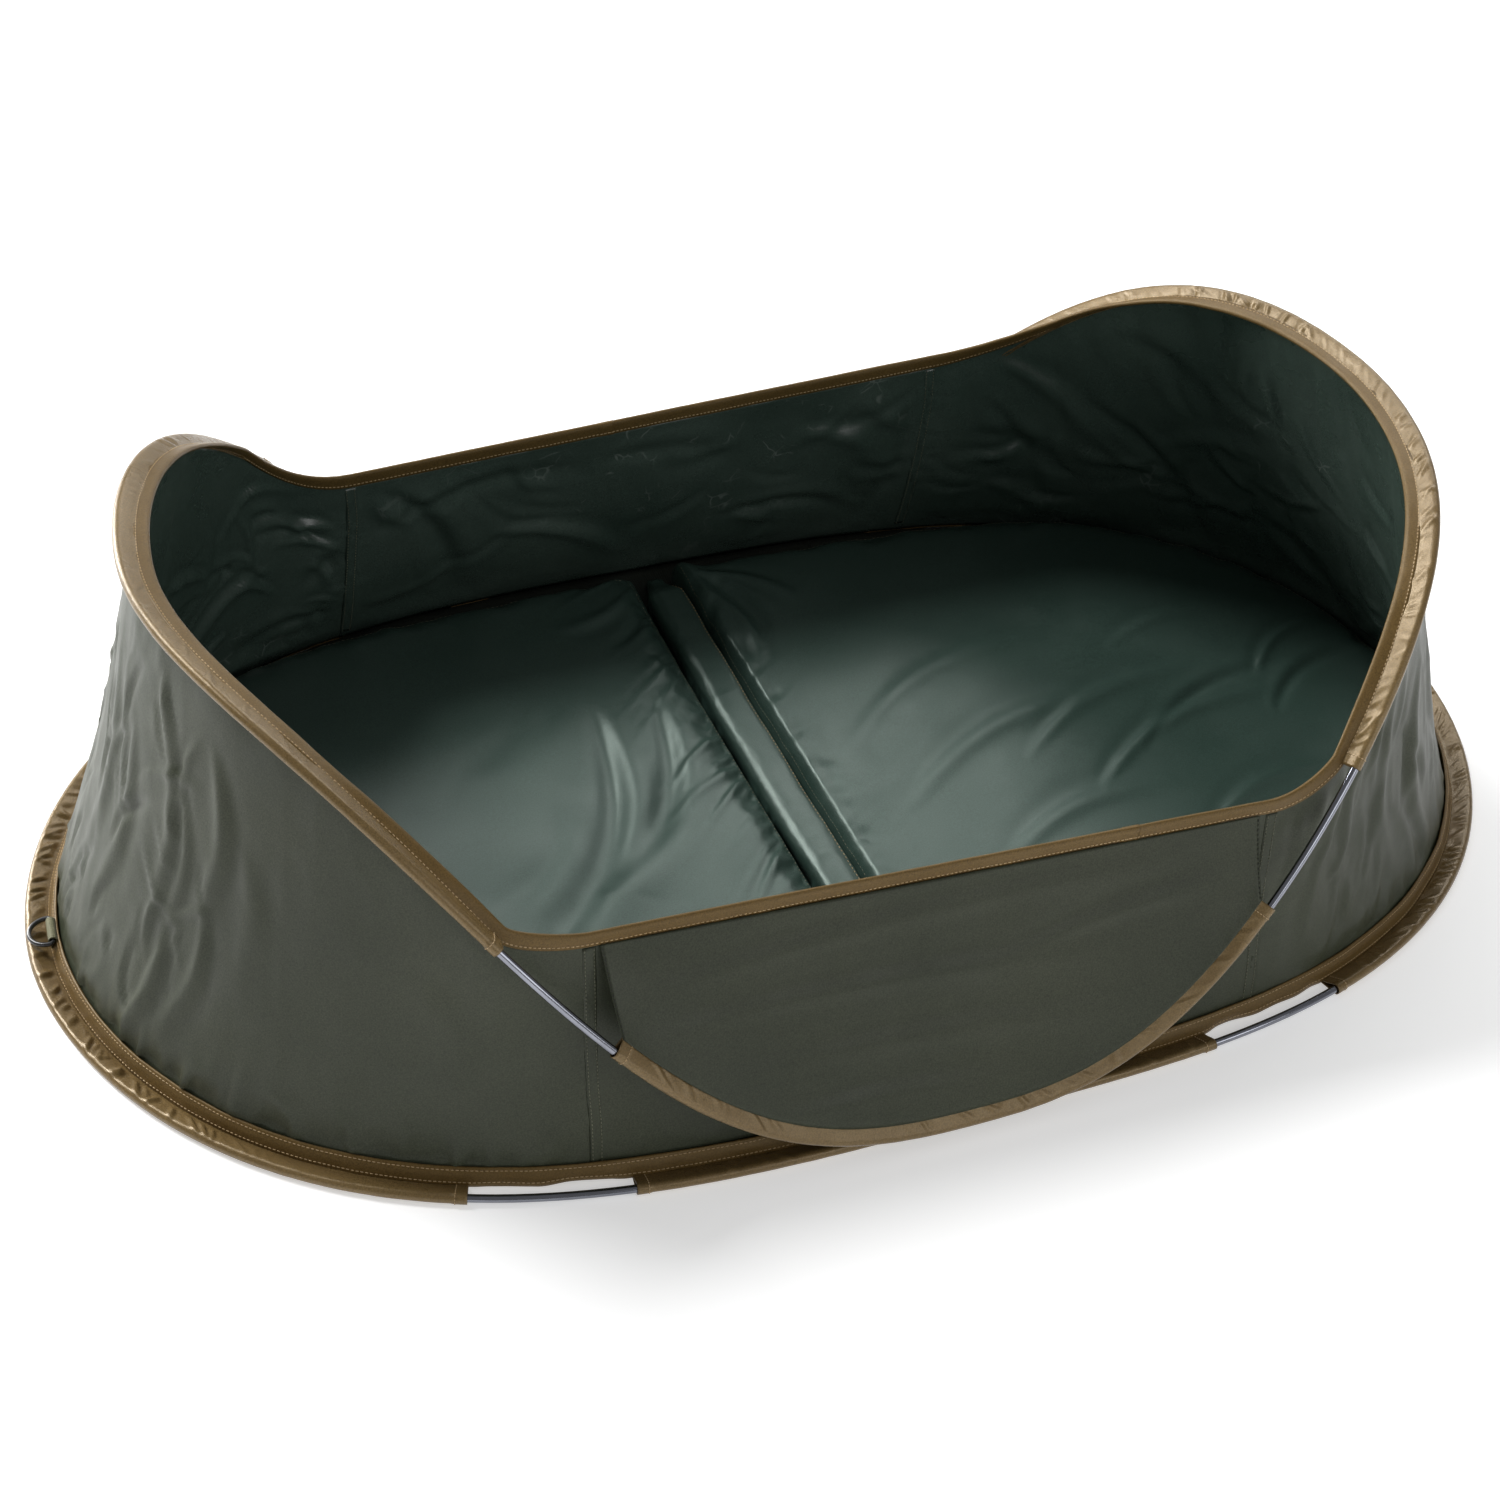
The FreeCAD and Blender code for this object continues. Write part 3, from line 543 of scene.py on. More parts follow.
NYLON_OUT = cloth_material(
    "nylon_outside", (0.034, 0.040, 0.024), (0.044, 0.050, 0.030),
    {"Roughness": 0.42, "Specular IOR Level": 0.26}, crease_depth=0.35 * MM,
    weave_depth=0.02 * MM)
NYLON_IN = cloth_material(
    "nylon_coated_inside", (0.034, 0.055, 0.044), (0.051, 0.075, 0.061),
    {"Roughness": 0.28, "Specular IOR Level": 0.75}, crease_depth=0.6 * MM,
    weave_depth=0.02 * MM, scuffs=(0.20, 0.23, 0.21))
LINING = cloth_material(
    "satin_lining", (0.024, 0.045, 0.036), (0.029, 0.052, 0.042),
    {"Roughness": 0.34, "Specular IOR Level": 0.64,
     "Specular Tint": (0.84, 1.0, 0.91, 1)}, crease_scale=26.0, crease_depth=0.32 * MM)
TAPE = cloth_material(
    "brown_tape", (0.108, 0.065, 0.019), (0.130, 0.080, 0.026),
    {"Roughness": 0.38, "Specular IOR Level": 0.38, "Specular Tint": (1.0, 0.84, 0.60, 1)},
    weave=0.6 * MM, crease_scale=90.0, crease_depth=0.2 * MM)
SATIN = cloth_material(
    "brown_satin", (0.130, 0.084, 0.032), (0.165, 0.110, 0.045),
    {"Roughness": 0.27, "Specular IOR Level": 0.75, "Specular Tint": (1.0, 0.82, 0.58, 1)},
    crease_scale=110.0, crease_depth=0.22 * MM)
BASE_FABRIC = cloth_material(
    "base_fabric", (0.016, 0.020, 0.015), (0.024, 0.028, 0.020),
    {"Roughness": 0.62, "Specular IOR Level": 0.4}, weave=1.1 * MM, weave_depth=0.12 * MM)
WEBBING = cloth_material(
    "olive_webbing", (0.130, 0.125, 0.058), (0.190, 0.180, 0.090),
    {"Roughness": 0.62, "Specular IOR Level": 0.35, "Sheen Weight": 0.2},
    weave=0.9 * MM, weave_depth=0.15 * MM, crease_scale=300.0)
THREAD_TAN = cloth_material(
    "tan_thread", (0.440, 0.300, 0.150), (0.560, 0.410, 0.230),
    {"Roughness": 0.55, "Specular IOR Level": 0.4}, weave=0.3 * MM)
THREAD_OLIVE = cloth_material(
    "olive_thread", (0.125, 0.130, 0.085), (0.170, 0.172, 0.115),
    {"Roughness": 0.55, "Specular IOR Level": 0.4}, weave=0.3 * MM)
THREAD_DARK = cloth_material(
    "dark_thread", (0.008, 0.009, 0.008), (0.014, 0.015, 0.013),
    {"Roughness": 0.55, "Specular IOR Level": 0.4}, weave=0.3 * MM)
SPRING_STEEL = steel_material("spring_steel", (0.27, 0.28, 0.32), 0.12, 0.02 * MM)
FERRULE_STEEL = steel_material("ferrule_steel", (0.48, 0.48, 0.49), 0.34, 0.05 * MM)
RING_ENAMEL = cloth_material(
    "black_enamel", (0.010, 0.010, 0.011), (0.016, 0.016, 0.018),
    {"Roughness": 0.30, "Specular IOR Level": 0.6, "Coat Weight": 0.4,
     "Coat Roughness": 0.15}, weave_depth=0.0, crease_scale=300.0, crease_depth=0.08 * MM)


# ---------------------------------------------------------------- walls
def wall_points(feet, tops, inward, rows, hollow):
    """A wall's middle surface between its foot and its rim seam, drawn in by hollow."""
    share = np.linspace(0, 1, rows)[:, None, None]
    points = feet * (1 - share) + tops * share
    return points + inward[None] * (1 * MM + wall_sag(share, hollow))


def wall_sag(share, hollow):
    """How far a wall is drawn in at a share of its height."""
    return np.sin(math.pi * share) ** 1.2 * hollow


def outward_grid(points):
    """The grid with its rows in the order that makes its normals face outwards."""
    normals = grid_normals(points, False)
    middle = points.reshape(-1, 3).mean(0) * np.array([0.35, 0.35, 1.0])
    facing = ((points - middle) * normals).sum(-1).mean()
    return points if facing > 0 else points[:, ::-1]


def wall_relief(u, v, height, style):
    """How far the cloth stands off its plain surface, in metres."""
    seed = style["seed"]
    low, high = u.min(), u.max()
    top = np.clip(v / height, 0, 1)
    broad = value_noise(u / 0.10 + 9, v / 0.17, seed) * style["broad"]
    streaks = crinkle(u / style["streak_pitch"] + 0.4 * v / 0.1 + 20, v / 0.16, seed + 3)
    streaks = (streaks - 0.3) * style["streaks"]
    over_tape = smoothstep((v - 8 * MM) / (8 * MM)) * np.exp(-np.maximum(v - 12 * MM, 0) / 0.022)
    foot = (crinkle(u / 0.021 + 40, v / 0.06, seed + 5) - 0.35) * style["foot"] * over_tape
    crown = value_noise(u / 0.022 + 40, v / 0.04, seed + 8) * style["crown"]
    crown = crown * np.exp(-(height - v) / 0.022)
    body = broad + streaks + fold_relief(u, v, style["folds"])
    edges = smoothstep((v - 8 * MM) / 0.02) * smoothstep((height - v) / 0.03)
    from_seam = np.minimum(u - low, high - u)
    seams = smoothstep(from_seam / 0.030)
    pucker = crinkle(v / 0.014, from_seam / 0.03, seed + 11) - 0.45
    inside = np.sin(math.pi * top) ** 0.5
    return (body * edges * seams + (foot + crown) * seams
            + pucker * np.exp(-from_seam / 0.016) * inside * style["seam_pucker"])


def relieved(points, u, style):
    """A wall's grid with its folds; u runs along the wall, and height is up it from the foot."""
    steps = np.linalg.norm(np.diff(points, axis=0), axis=-1)
    v = np.concatenate([np.zeros((1, points.shape[1])), np.cumsum(steps, 0)])
    relief = wall_relief(np.tile(u, (len(points), 1)), v, v.max(0, keepdims=True), style)
    return points + grid_normals(points, False) * relief[..., None]


# Places on an end wall are (metres from its tip, positive towards the front; metres up).
LEFT_FOLDS = [
    ((0.120, 0.290), (0.135, 0.150), 8 * MM, 3.6 * MM),
    ((0.140, 0.170), (0.120, 0.040), 7 * MM, 3.6 * MM),
    ((0.090, 0.250), (0.105, 0.120), 6 * MM, 2.6 * MM),
    ((0.060, 0.300), (0.075, 0.080), 8 * MM, 2.6 * MM),
    ((0.105, 0.130), (0.085, 0.015), 7 * MM, 3.0 * MM),
    ((0.020, 0.260), (0.005, 0.060), 8 * MM, 2.4 * MM),
    ((-0.030, 0.280), (-0.020, 0.100), 8 * MM, 2.4 * MM),
    ((0.160, 0.230), (0.175, 0.100), 12 * MM, 2.0 * MM),
    ((0.300, 0.170), (0.350, 0.050), 16 * MM, 1.4 * MM),
    ((0.500, 0.100), (0.330, 0.015), 14 * MM, 1.6 * MM),
    ((0.500, 0.060), (0.400, 0.010), 10 * MM, 1.6 * MM),
    ((0.430, 0.170), (0.505, 0.150), 8 * MM, 1.4 * MM),
    ((-0.505, 0.125), (-0.390, 0.085), 8 * MM, 5.4 * MM),
    ((-0.500, 0.085), (-0.410, 0.060), 7 * MM, -4.6 * MM),
    ((-0.505, 0.150), (-0.370, 0.190), 11 * MM, 4.0 * MM),
    ((-0.360, 0.120), (-0.280, 0.060), 8 * MM, -3.6 * MM),
    ((-0.430, 0.040), (-0.330, 0.020), 8 * MM, 3.4 * MM),
]
RIGHT_FOLDS = [
    ((-0.300, 0.170), (-0.205, 0.020), 10 * MM, 4.6 * MM),
    ((-0.400, 0.200), (-0.290, 0.120), 10 * MM, -3.4 * MM),
    ((-0.410, 0.120), (-0.300, 0.060), 12 * MM, 3.6 * MM),
    ((-0.390, 0.060), (-0.330, 0.020), 9 * MM, -3.0 * MM),
    ((-0.280, 0.250), (-0.180, 0.190), 14 * MM, 3.0 * MM),
    ((-0.240, 0.130), (-0.120, 0.170), 9 * MM, -2.6 * MM),
    ((-0.150, 0.090), (-0.060, 0.020), 12 * MM, 2.6 * MM),
    ((-0.400, 0.160), (-0.345, 0.030), 9 * MM, 3.0 * MM),
    ((0.330, 0.230), (0.345, 0.020), 8 * MM, 3.2 * MM),
    ((0.270, 0.230), (0.290, 0.030), 7 * MM, 2.8 * MM),
    ((0.215, 0.220), (0.235, 0.020), 8 * MM, 3.0 * MM),
    ((0.150, 0.240), (0.165, 0.030), 9 * MM, 2.6 * MM),
    ((0.380, 0.140), (0.395, 0.020), 8 * MM, 2.2 * MM),
]
# Places on a side wall are (x, metres up).
BACK_FOLDS = [
    ((-0.250, 0.180), (-0.180, 0.020), 11 * MM, 5.0 * MM),
    ((-0.250, 0.130), (-0.060, 0.150), 9 * MM, 3.4 * MM),
    ((-0.150, 0.100), (-0.020, 0.030), 9 * MM, -4.0 * MM),
    ((0.060, 0.060), (0.200, 0.035), 8 * MM, 4.2 * MM),
    ((-0.060, 0.160), (0.080, 0.120), 12 * MM, 3.4 * MM),
    ((0.120, 0.150), (0.220, 0.090), 10 * MM, -4.0 * MM),
    ((0.225, 0.170), (0.200, 0.020), 9 * MM, 3.4 * MM),
]
FRONT_FOLDS = [
    ((-0.240, 0.050), (-0.060, 0.085), 10 * MM, 1.8 * MM),
    ((-0.200, 0.110), (-0.020, 0.120), 12 * MM, 1.5 * MM),
    ((0.100, 0.040), (0.220, 0.090), 9 * MM, 1.6 * MM),
]
WALL_STYLES = {
    "left": {"seed": 21, "broad": 2.6 * MM, "streaks": 1.1 * MM, "streak_pitch": 0.040,
             "foot": 8.0 * MM, "crown": 0.8 * MM, "seam_pucker": 1.6 * MM,
             "folds": LEFT_FOLDS + scattered_folds(
                 22, 50, (-0.10, 0.03, 0.14, 0.30), 92, 24, (0.02, 0.09), 3.0 * MM, 2.4 * MM)
             + scattered_folds(23, 36, (-0.50, 0.02, -0.22, 0.20), 20, 40, (0.03, 0.09),
                               3.4 * MM, 3.8 * MM)},
    "right": {"seed": 55, "broad": 3.8 * MM, "streaks": 2.6 * MM, "streak_pitch": 0.046,
              "foot": 3.4 * MM, "crown": 1.0 * MM, "seam_pucker": 2.2 * MM,
              "folds": RIGHT_FOLDS + scattered_folds(
                  56, 44, (-0.42, 0.03, 0.10, 0.27), 150, 40, (0.03, 0.11), 5 * MM, 2.8 * MM)
              + scattered_folds(57, 20, (0.20, 0.03, 0.45, 0.22), 95, 12, (0.05, 0.14),
                                4.5 * MM, 3.0 * MM)},
    "front": {"seed": 72, "broad": 1.8 * MM, "streaks": 0.8 * MM, "streak_pitch": 0.09,
              "foot": 1.6 * MM, "crown": 0.4 * MM, "seam_pucker": 0.5 * MM,
              "folds": FRONT_FOLDS},
    "back": {"seed": 90, "broad": 2.8 * MM, "streaks": 1.4 * MM, "streak_pitch": 0.07,
             "foot": 2.4 * MM, "crown": 0.6 * MM, "seam_pucker": 1.2 * MM,
             "folds": BACK_FOLDS + scattered_folds(
                 91, 22, (-0.25, 0.03, 0.22, 0.17), 160, 35, (0.04, 0.12), 6 * MM, 2.6 * MM)},
}


def make_end_wall(end):
    """The curved wall round one end."""
    tops, _, _ = rim_path(end, (SEAM_X[end], SEAM_X[end]), 3.6 * MM)
    tops = tops - UP * 0.2 * MM
    reach = HEM_REACH - WALL_FOOT_INSET
    feet_turns = even_turns(lambda t: hem(t, WALL_FOOT_INSET),
                            span_round(end, SEAM_X[end], reach), 1 * MM)
    share = np.linspace(0, 1, len(tops))
    turns = np.interp(share, np.linspace(0, 1, len(feet_turns)), feet_turns)
    feet = hem(turns, WALL_FOOT_INSET, TAPE_TOP)
    feet[[0, -1], 0] = SEAM_X[end]
    from_seam = np.minimum(share, 1 - share) / 0.12
    beside = np.where(feet[:, 1] < 0, WALL_HOLLOW["front"], WALL_HOLLOW["back"])
    hollow = beside + (WALL_HOLLOW[end] - beside) * smoothstep(from_seam)
    points = wall_points(feet, tops, inward_of(hem_outline, turns), 76, hollow[:, None])
    points = outward_grid(points)
    run = lengths_along(points[len(points) // 2])
    middle = run[np.abs(points[0, :, 1]).argmin()]
    towards_front = 1 if points[0, -1, 1] < 0 else -1
    points = relieved(points, (run - middle) * towards_front, WALL_STYLES[end])
    name = end + "_end_wall"
    wall = cloth_grid(name + "_cloth", points, [NYLON_OUT, NYLON_IN], 0.8 * MM)
    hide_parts(name)
    return wall


def make_side_wall(name):
    """The low wall along one long side."""
    side = SIDE_SIGN[name]
    xs = np.linspace(SEAM_X["left"] - 4.4 * MM, SEAM_X["right"] + 4.4 * MM, 150)
    turns = side * np.arccos(xs / (HEM_REACH - WALL_FOOT_INSET))
    feet = hem(turns, WALL_FOOT_INSET, TAPE_TOP)
    feet[:, 0] = xs
    tops = side_seam(xs, side) - UP * 0.6 * MM
    inward = np.tile(np.array([0.0, -side, 0.0]), (len(xs), 1))
    points = wall_points(feet, tops, inward, 54, WALL_HOLLOW[name])
    points = outward_grid(points)
    points = relieved(points, points[0, :, 0], WALL_STYLES[name])
    wall = cloth_grid(name + "_side_wall_cloth", points, [NYLON_OUT, NYLON_IN],
                      0.8 * MM)
    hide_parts(name + "_side_wall")


# Places on a flap are (x, z).
FLAP_FOLDS = [
    ((-0.250, 0.150), (0.180, 0.163), 9 * MM, 1.9 * MM),
    ((-0.240, 0.125), (0.120, 0.108), 8 * MM, 1.6 * MM),
    ((-0.190, 0.085), (0.150, 0.062), 9 * MM, 1.5 * MM),
    ((0.020, 0.120), (0.225, 0.145), 7 * MM, 1.7 * MM),
    ((-0.160, 0.050), (0.040, 0.035), 8 * MM, 1.3 * MM),
]


def flap_top(turn):
    wire = rim_wire(turn)
    side = np.sign(wire[..., 1])
    seam = side_seam(wire[..., 0] * 0.99, side)
    return seam + np.stack([0 * side, side * 1.4 * MM, 0 * side - 0.6 * MM], -1)


def flap_tail(turn):
    """The direction from the wire up the flap, square to the wire."""
    tangent = tangent_of(rim_wire, turn)
    rise = flap_top(turn) - rim_wire(turn)
    return unit(rise - tangent * (rise * tangent).sum(-1, keepdims=True))


def make_flap(name):
    """The D-shaped panel that hangs outside a long side, from rim to wire."""
    side = SIDE_SIGN[name]
    span = side_span(FLAP_SLEEVE_X, side, (RIM_REACH["left"], RIM_REACH["right"]))
    turns = even_turns(rim_wire, span, 4.5 * MM)
    tail, normal = flap_frame(turns)
    low = rim_wire(turns) + tail * 9.5 * MM
    high = flap_top(turns)
    share = np.linspace(0, 1, 52)[:, None, None]
    out = np.array([0.0, side, 0.0])
    points = low * (1 - share) + high * share + normal * (2.3 * MM * (1 - share) ** 3)
    points = outward_grid(points + out * (np.sin(math.pi * share) * -1.5 * MM))
    x, v = points[..., 0], points[..., 2]
    relief = value_noise(x / 0.20 + 9, v / 0.055 + 2.0 * x, 131) * 1.3 * MM
    relief += fold_relief(x, v, FLAP_FOLDS, bow=0.02)
    share = share[..., 0]
    relief += (crinkle(x / 0.024 + 20, v / 0.05, 133) - 0.4) * 1.2 * MM * (1 - share) ** 7
    ends = smoothstep((x - x.min()) / 0.02) * smoothstep((x.max() - x) / 0.02)
    relief = relief * ends * smoothstep(30 * share) * smoothstep(8 * (1 - share))
    points = points + grid_normals(points, False) * relief[..., None]
    flap = cloth_grid(name + "_flap_cloth", points, [NYLON_OUT, NYLON_IN],
                      0.7 * MM)
    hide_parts(name + "_flap")
    edges = []
    for first, second in ((0, 1), (-1, -2)):
        line = points[2:-2, first] * 0.62 + points[2:-2, second] * 0.38
        edges.append((line + out * 0.5 * MM, np.tile(out, (len(line), 1))))
    return edges


# ---------------------------------------------------------------- sleeves
def sleeve_profile(flat_side, tail):
    """Points (towards the seam, up) of the cloth folded round the wire."""
    foot = -(SLEEVE_RADIUS - 1.1 * MM) if flat_side else 0.0
    radius = SLEEVE_RADIUS - 0.4 * MM
    run = np.linspace(0, 1, 10)[:-1]
    rise = smoothstep(run) * 0.35 + run * 0.65
    upper = np.stack([tail * (1 - run), foot + 0.6 * MM + (radius - foot - 0.6 * MM) * rise], -1)
    angles = np.linspace(math.pi / 2, 3 * math.pi / 2, 9)
    nose = np.stack([radius * np.cos(angles), radius * np.sin(angles)], -1)
    back = np.linspace(0, 1, 10)[1:]
    lower = np.stack([tail * back, -radius + (radius + foot - 0.6 * MM) * back], -1)
    return np.concatenate([upper, nose, lower])


def gathers(s, d, seed, spacing, height):
    """Gathers that start at a seam, where d is 0, and run out slanting over the cloth."""
    rng = np.random.default_rng(seed)
    relief = np.zeros(np.broadcast(s, d).shape)
    at = 0.0
    while at < s.max():
        at += spacing * rng.uniform(0.35, 1.8)
        slant = rng.normal(0.9, 0.55)
        width = rng.uniform(1.5, 3.4) * MM
        reach = rng.uniform(4, 11) * MM
        patch = smoothstep(0.55 + 0.9 * float(value_noise(at / 0.10 + 5, 0.5, seed + 2)))
        tall = rng.uniform(0.35, 1.0) * height * (0.15 + 0.85 * patch)
        aside = (s - at - slant * d) / width
        ridge = np.exp(-aside ** 2) - 0.55 * np.exp(-((aside - 1.7) / 1.1) ** 2)
        relief += tall * ridge * np.exp(-((d - 0.4 * reach) / reach) ** 2)
    return relief


def make_sleeve(name, curve, span, frame_at, flat_side, tail_length, seed, spacing, puckers):
    """A satin sleeve along a stretch of wire, puckered where it is gathered to its seam."""
    turns = even_turns(curve, span, 1.4 * MM)
    centre = curve(turns)
    run = lengths_along(centre)
    tail, normal = frame_at(turns)
    profile = sleeve_profile(flat_side, tail_length)
    from_end = np.minimum(run, run[-1] - run)
    hem_fold = smoothstep((10.5 * MM - from_end) / (1.2 * MM))
    slack = smoothstep((from_end - 9 * MM) / 0.012)
    rows = len(profile)
    q = np.linspace(0, 1, rows)[:, None]
    s = run[None, :]
    d = tail_length - profile[:, :1]
    covered = max(0.0, tail_length - SEAM_OFFSET) + 0.5 * MM
    shown = np.maximum(d - covered, 0)
    relief = np.where(q < 0.5, gathers(s, shown, seed, spacing, puckers),
                      gathers(s, shown, seed + 1, spacing, puckers))
    taut = smoothstep((profile[:, :1] + 3.5 * MM) / (5 * MM)) * smoothstep(shown / (1.4 * MM))
    relief = relief * taut * slack
    relief += value_noise(s / 0.045, q * 3, seed + 4) * 0.35 * MM * taut
    relief += value_noise(s / 0.010, q * 5, seed + 5) * 0.10 * MM
    relief += hem_fold * 0.45 * MM
    points = (centre[None] + tail[None] * profile[:, None, :1]
              + normal[None] * profile[:, None, 1:])
    outward = grid_normals(points, False)
    centre_side = points - (centre + tail * SLEEVE_TAIL / 3)[None]
    if (outward * centre_side).sum(-1).mean() < 0:
        outward = -outward
    points = points + outward * relief[..., None]
    if flat_side:
        points[..., 2] = np.maximum(points[..., 2], 0.35 * MM)
    made = cloth_grid(name + "_wire_sleeve", points, [SATIN], 0.6 * MM)
    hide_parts(name + "_sleeve")
    inset = round(8 * MM / (1.4 * MM))
    return [(points[1:rows // 2 + 3, k], outward[1:rows // 2 + 3, k])
            for k in (inset, -1 - inset)]


def hem_frame(turns):
    return inward_of(hem_outline, turns), np.tile(UP, (len(turns), 1))


def arch_frame(turns):
    tail = flange_direction(turns)
    normal = unit(np.cross(tangent_of(rim_wire, turns), tail))
    return tail, normal * np.where(normal[:, 2:] < 0, -1, 1)


def flap_frame(turns):
    tail = flap_tail(turns)
    normal = unit(np.cross(tangent_of(rim_wire, turns), tail))
    outward = np.sign(rim_wire(turns)[:, 1:2])
    return tail, normal * np.where(normal[:, 1:2] * outward < 0, -1, 1)


# spacing and height of each sleeve's gathers
GATHERS = {
    "left_hem": (10 * MM, 1.9 * MM), "right_hem": (10 * MM, 1.9 * MM),
    "front_hem": (13 * MM, 1.5 * MM), "back_hem": (13 * MM, 1.5 * MM),
    "left_arch": (22 * MM, 0.8 * MM), "right_arch": (11 * MM, 2.0 * MM),
    "front_flap": (17 * MM, 1.2 * MM), "back_flap": (17 * MM, 1.2 * MM),
}


def make_sleeves():
    """All eight sleeves, and the stitches across their hemmed ends."""
    ends = []
    for k, end in enumerate(("left", "right")):
        span = span_round(end, HEM_END_SLEEVE_X[end], HEM_REACH)
        ends += make_sleeve(end + "_hem", hem_wire, span, hem_frame, True, SLEEVE_TAIL,
                            200 + 10 * k, *GATHERS[end + "_hem"])
        span = span_round(end, ARCH_SLEEVE_X[end], RIM_REACH[end])
        ends += make_sleeve(end + "_arch", rim_wire, span, arch_frame, False,
                            SEAM_OFFSET + 3.5 * MM, 230 + 10 * k, *GATHERS[end + "_arch"])
    for k, (name, side) in enumerate(SIDE_SIGN.items()):
        span = side_span(HEM_SIDE_SLEEVE_X, side, (HEM_REACH, HEM_REACH))
        ends += make_sleeve(name + "_hem", hem_wire, span, hem_frame, True, SLEEVE_TAIL,
                            260 + 10 * k, *GATHERS[name + "_hem"])
        span = side_span(FLAP_SLEEVE_X, side, (RIM_REACH["left"], RIM_REACH["right"]))
        ends += make_sleeve(name + "_flap", rim_wire, span, flap_frame, False, 11 * MM,
                            280 + 10 * k, *GATHERS[name + "_flap"])
    return [(line + normal * 0.45 * MM, normal) for line, normal in ends]


# ---------------------------------------------------------------- tapes
def folded_tape(width, thickness, count=6):
    """Points (along the width, across it) of a tape folded in two, open at 0."""
    flat = np.linspace(0, 1, count)
    swell = 1 + 0.25 * np.exp(-((flat - 0.85) / 0.15) ** 2) - 0.3 * np.exp(-((flat - 0.22) / 0.08) ** 2)
    half = thickness / 2
    reach = (width - half) * flat
    one = np.stack([reach, half * swell], -1)
    angles = np.linspace(math.pi / 2, -math.pi / 2, 7)[1:-1]
    fold = np.stack([width - half + half * np.cos(angles), half * np.sin(angles)], -1)
    two = np.stack([reach, -half * swell], -1)[::-1]
    return np.concatenate([one, fold, two])


def make_binding(end):
    """The rim tape round one end, folded over the walls' raw edge. Returns its stitch lines."""
    joins = (BINDING_JOIN_X["front"], BINDING_JOIN_X["back"])
    if end == "left":
        joins = joins[::-1]
    overlap = 11 * MM if end == "left" else 0.0
    joins = tuple(x + overlap for x in joins)
    seam, inward, upright = rim_path(end, joins, 2.4 * MM)
    run = lengths_along(seam)
    angle = FLANGE_SLOPE + (math.pi / 2 - FLANGE_SLOPE) * upright[:, None]
    direction = inward * np.cos(angle) + UP * np.sin(angle)
    across = inward * np.sin(angle) - UP * np.cos(angle)
    start = seam - direction * 0.9 * MM + inward * (0.9 * MM * upright[:, None])
    profile = folded_tape(BINDING_WIDTH, BINDING_THICKNESS)
    from_end = np.minimum(run, run[-1] - run)
    wrap = 1 + (0.30 * smoothstep((14 * MM - from_end) / (2 * MM)) if end == "left" else 0)
    seed = 300 + END_SIGN[end]
    q = np.linspace(0, 1, len(profile))[:, None]
    s = run[None]
    wave = value_noise(s / 0.05, q * 2, seed) * 0.35 * MM
    wave += value_noise(s / 0.014, q * 3, seed + 1) * 0.16 * MM
    sway = value_noise(s / 0.12, q * 0, seed + 2) * 0.5 * MM * (1 - upright[None])
    points = (start[None] + direction[None] * (profile[:, None, :1] + sway[..., None])
              + across[None] * (profile[:, None, 1:] * np.reshape(wrap, (1, -1, 1))
                                + wave[..., None]))
    made = cloth_grid("rim_binding_tape_" + end, points, [TAPE], 0.7 * MM)
    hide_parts("rim_binding_" + end)
    lines = []
    for row, sign in ((1, 1), (len(profile) - 2, -1)):
        line = points[row] + across * (sign * 0.42 * MM)
        lines.append((line, across * sign))
    return lines


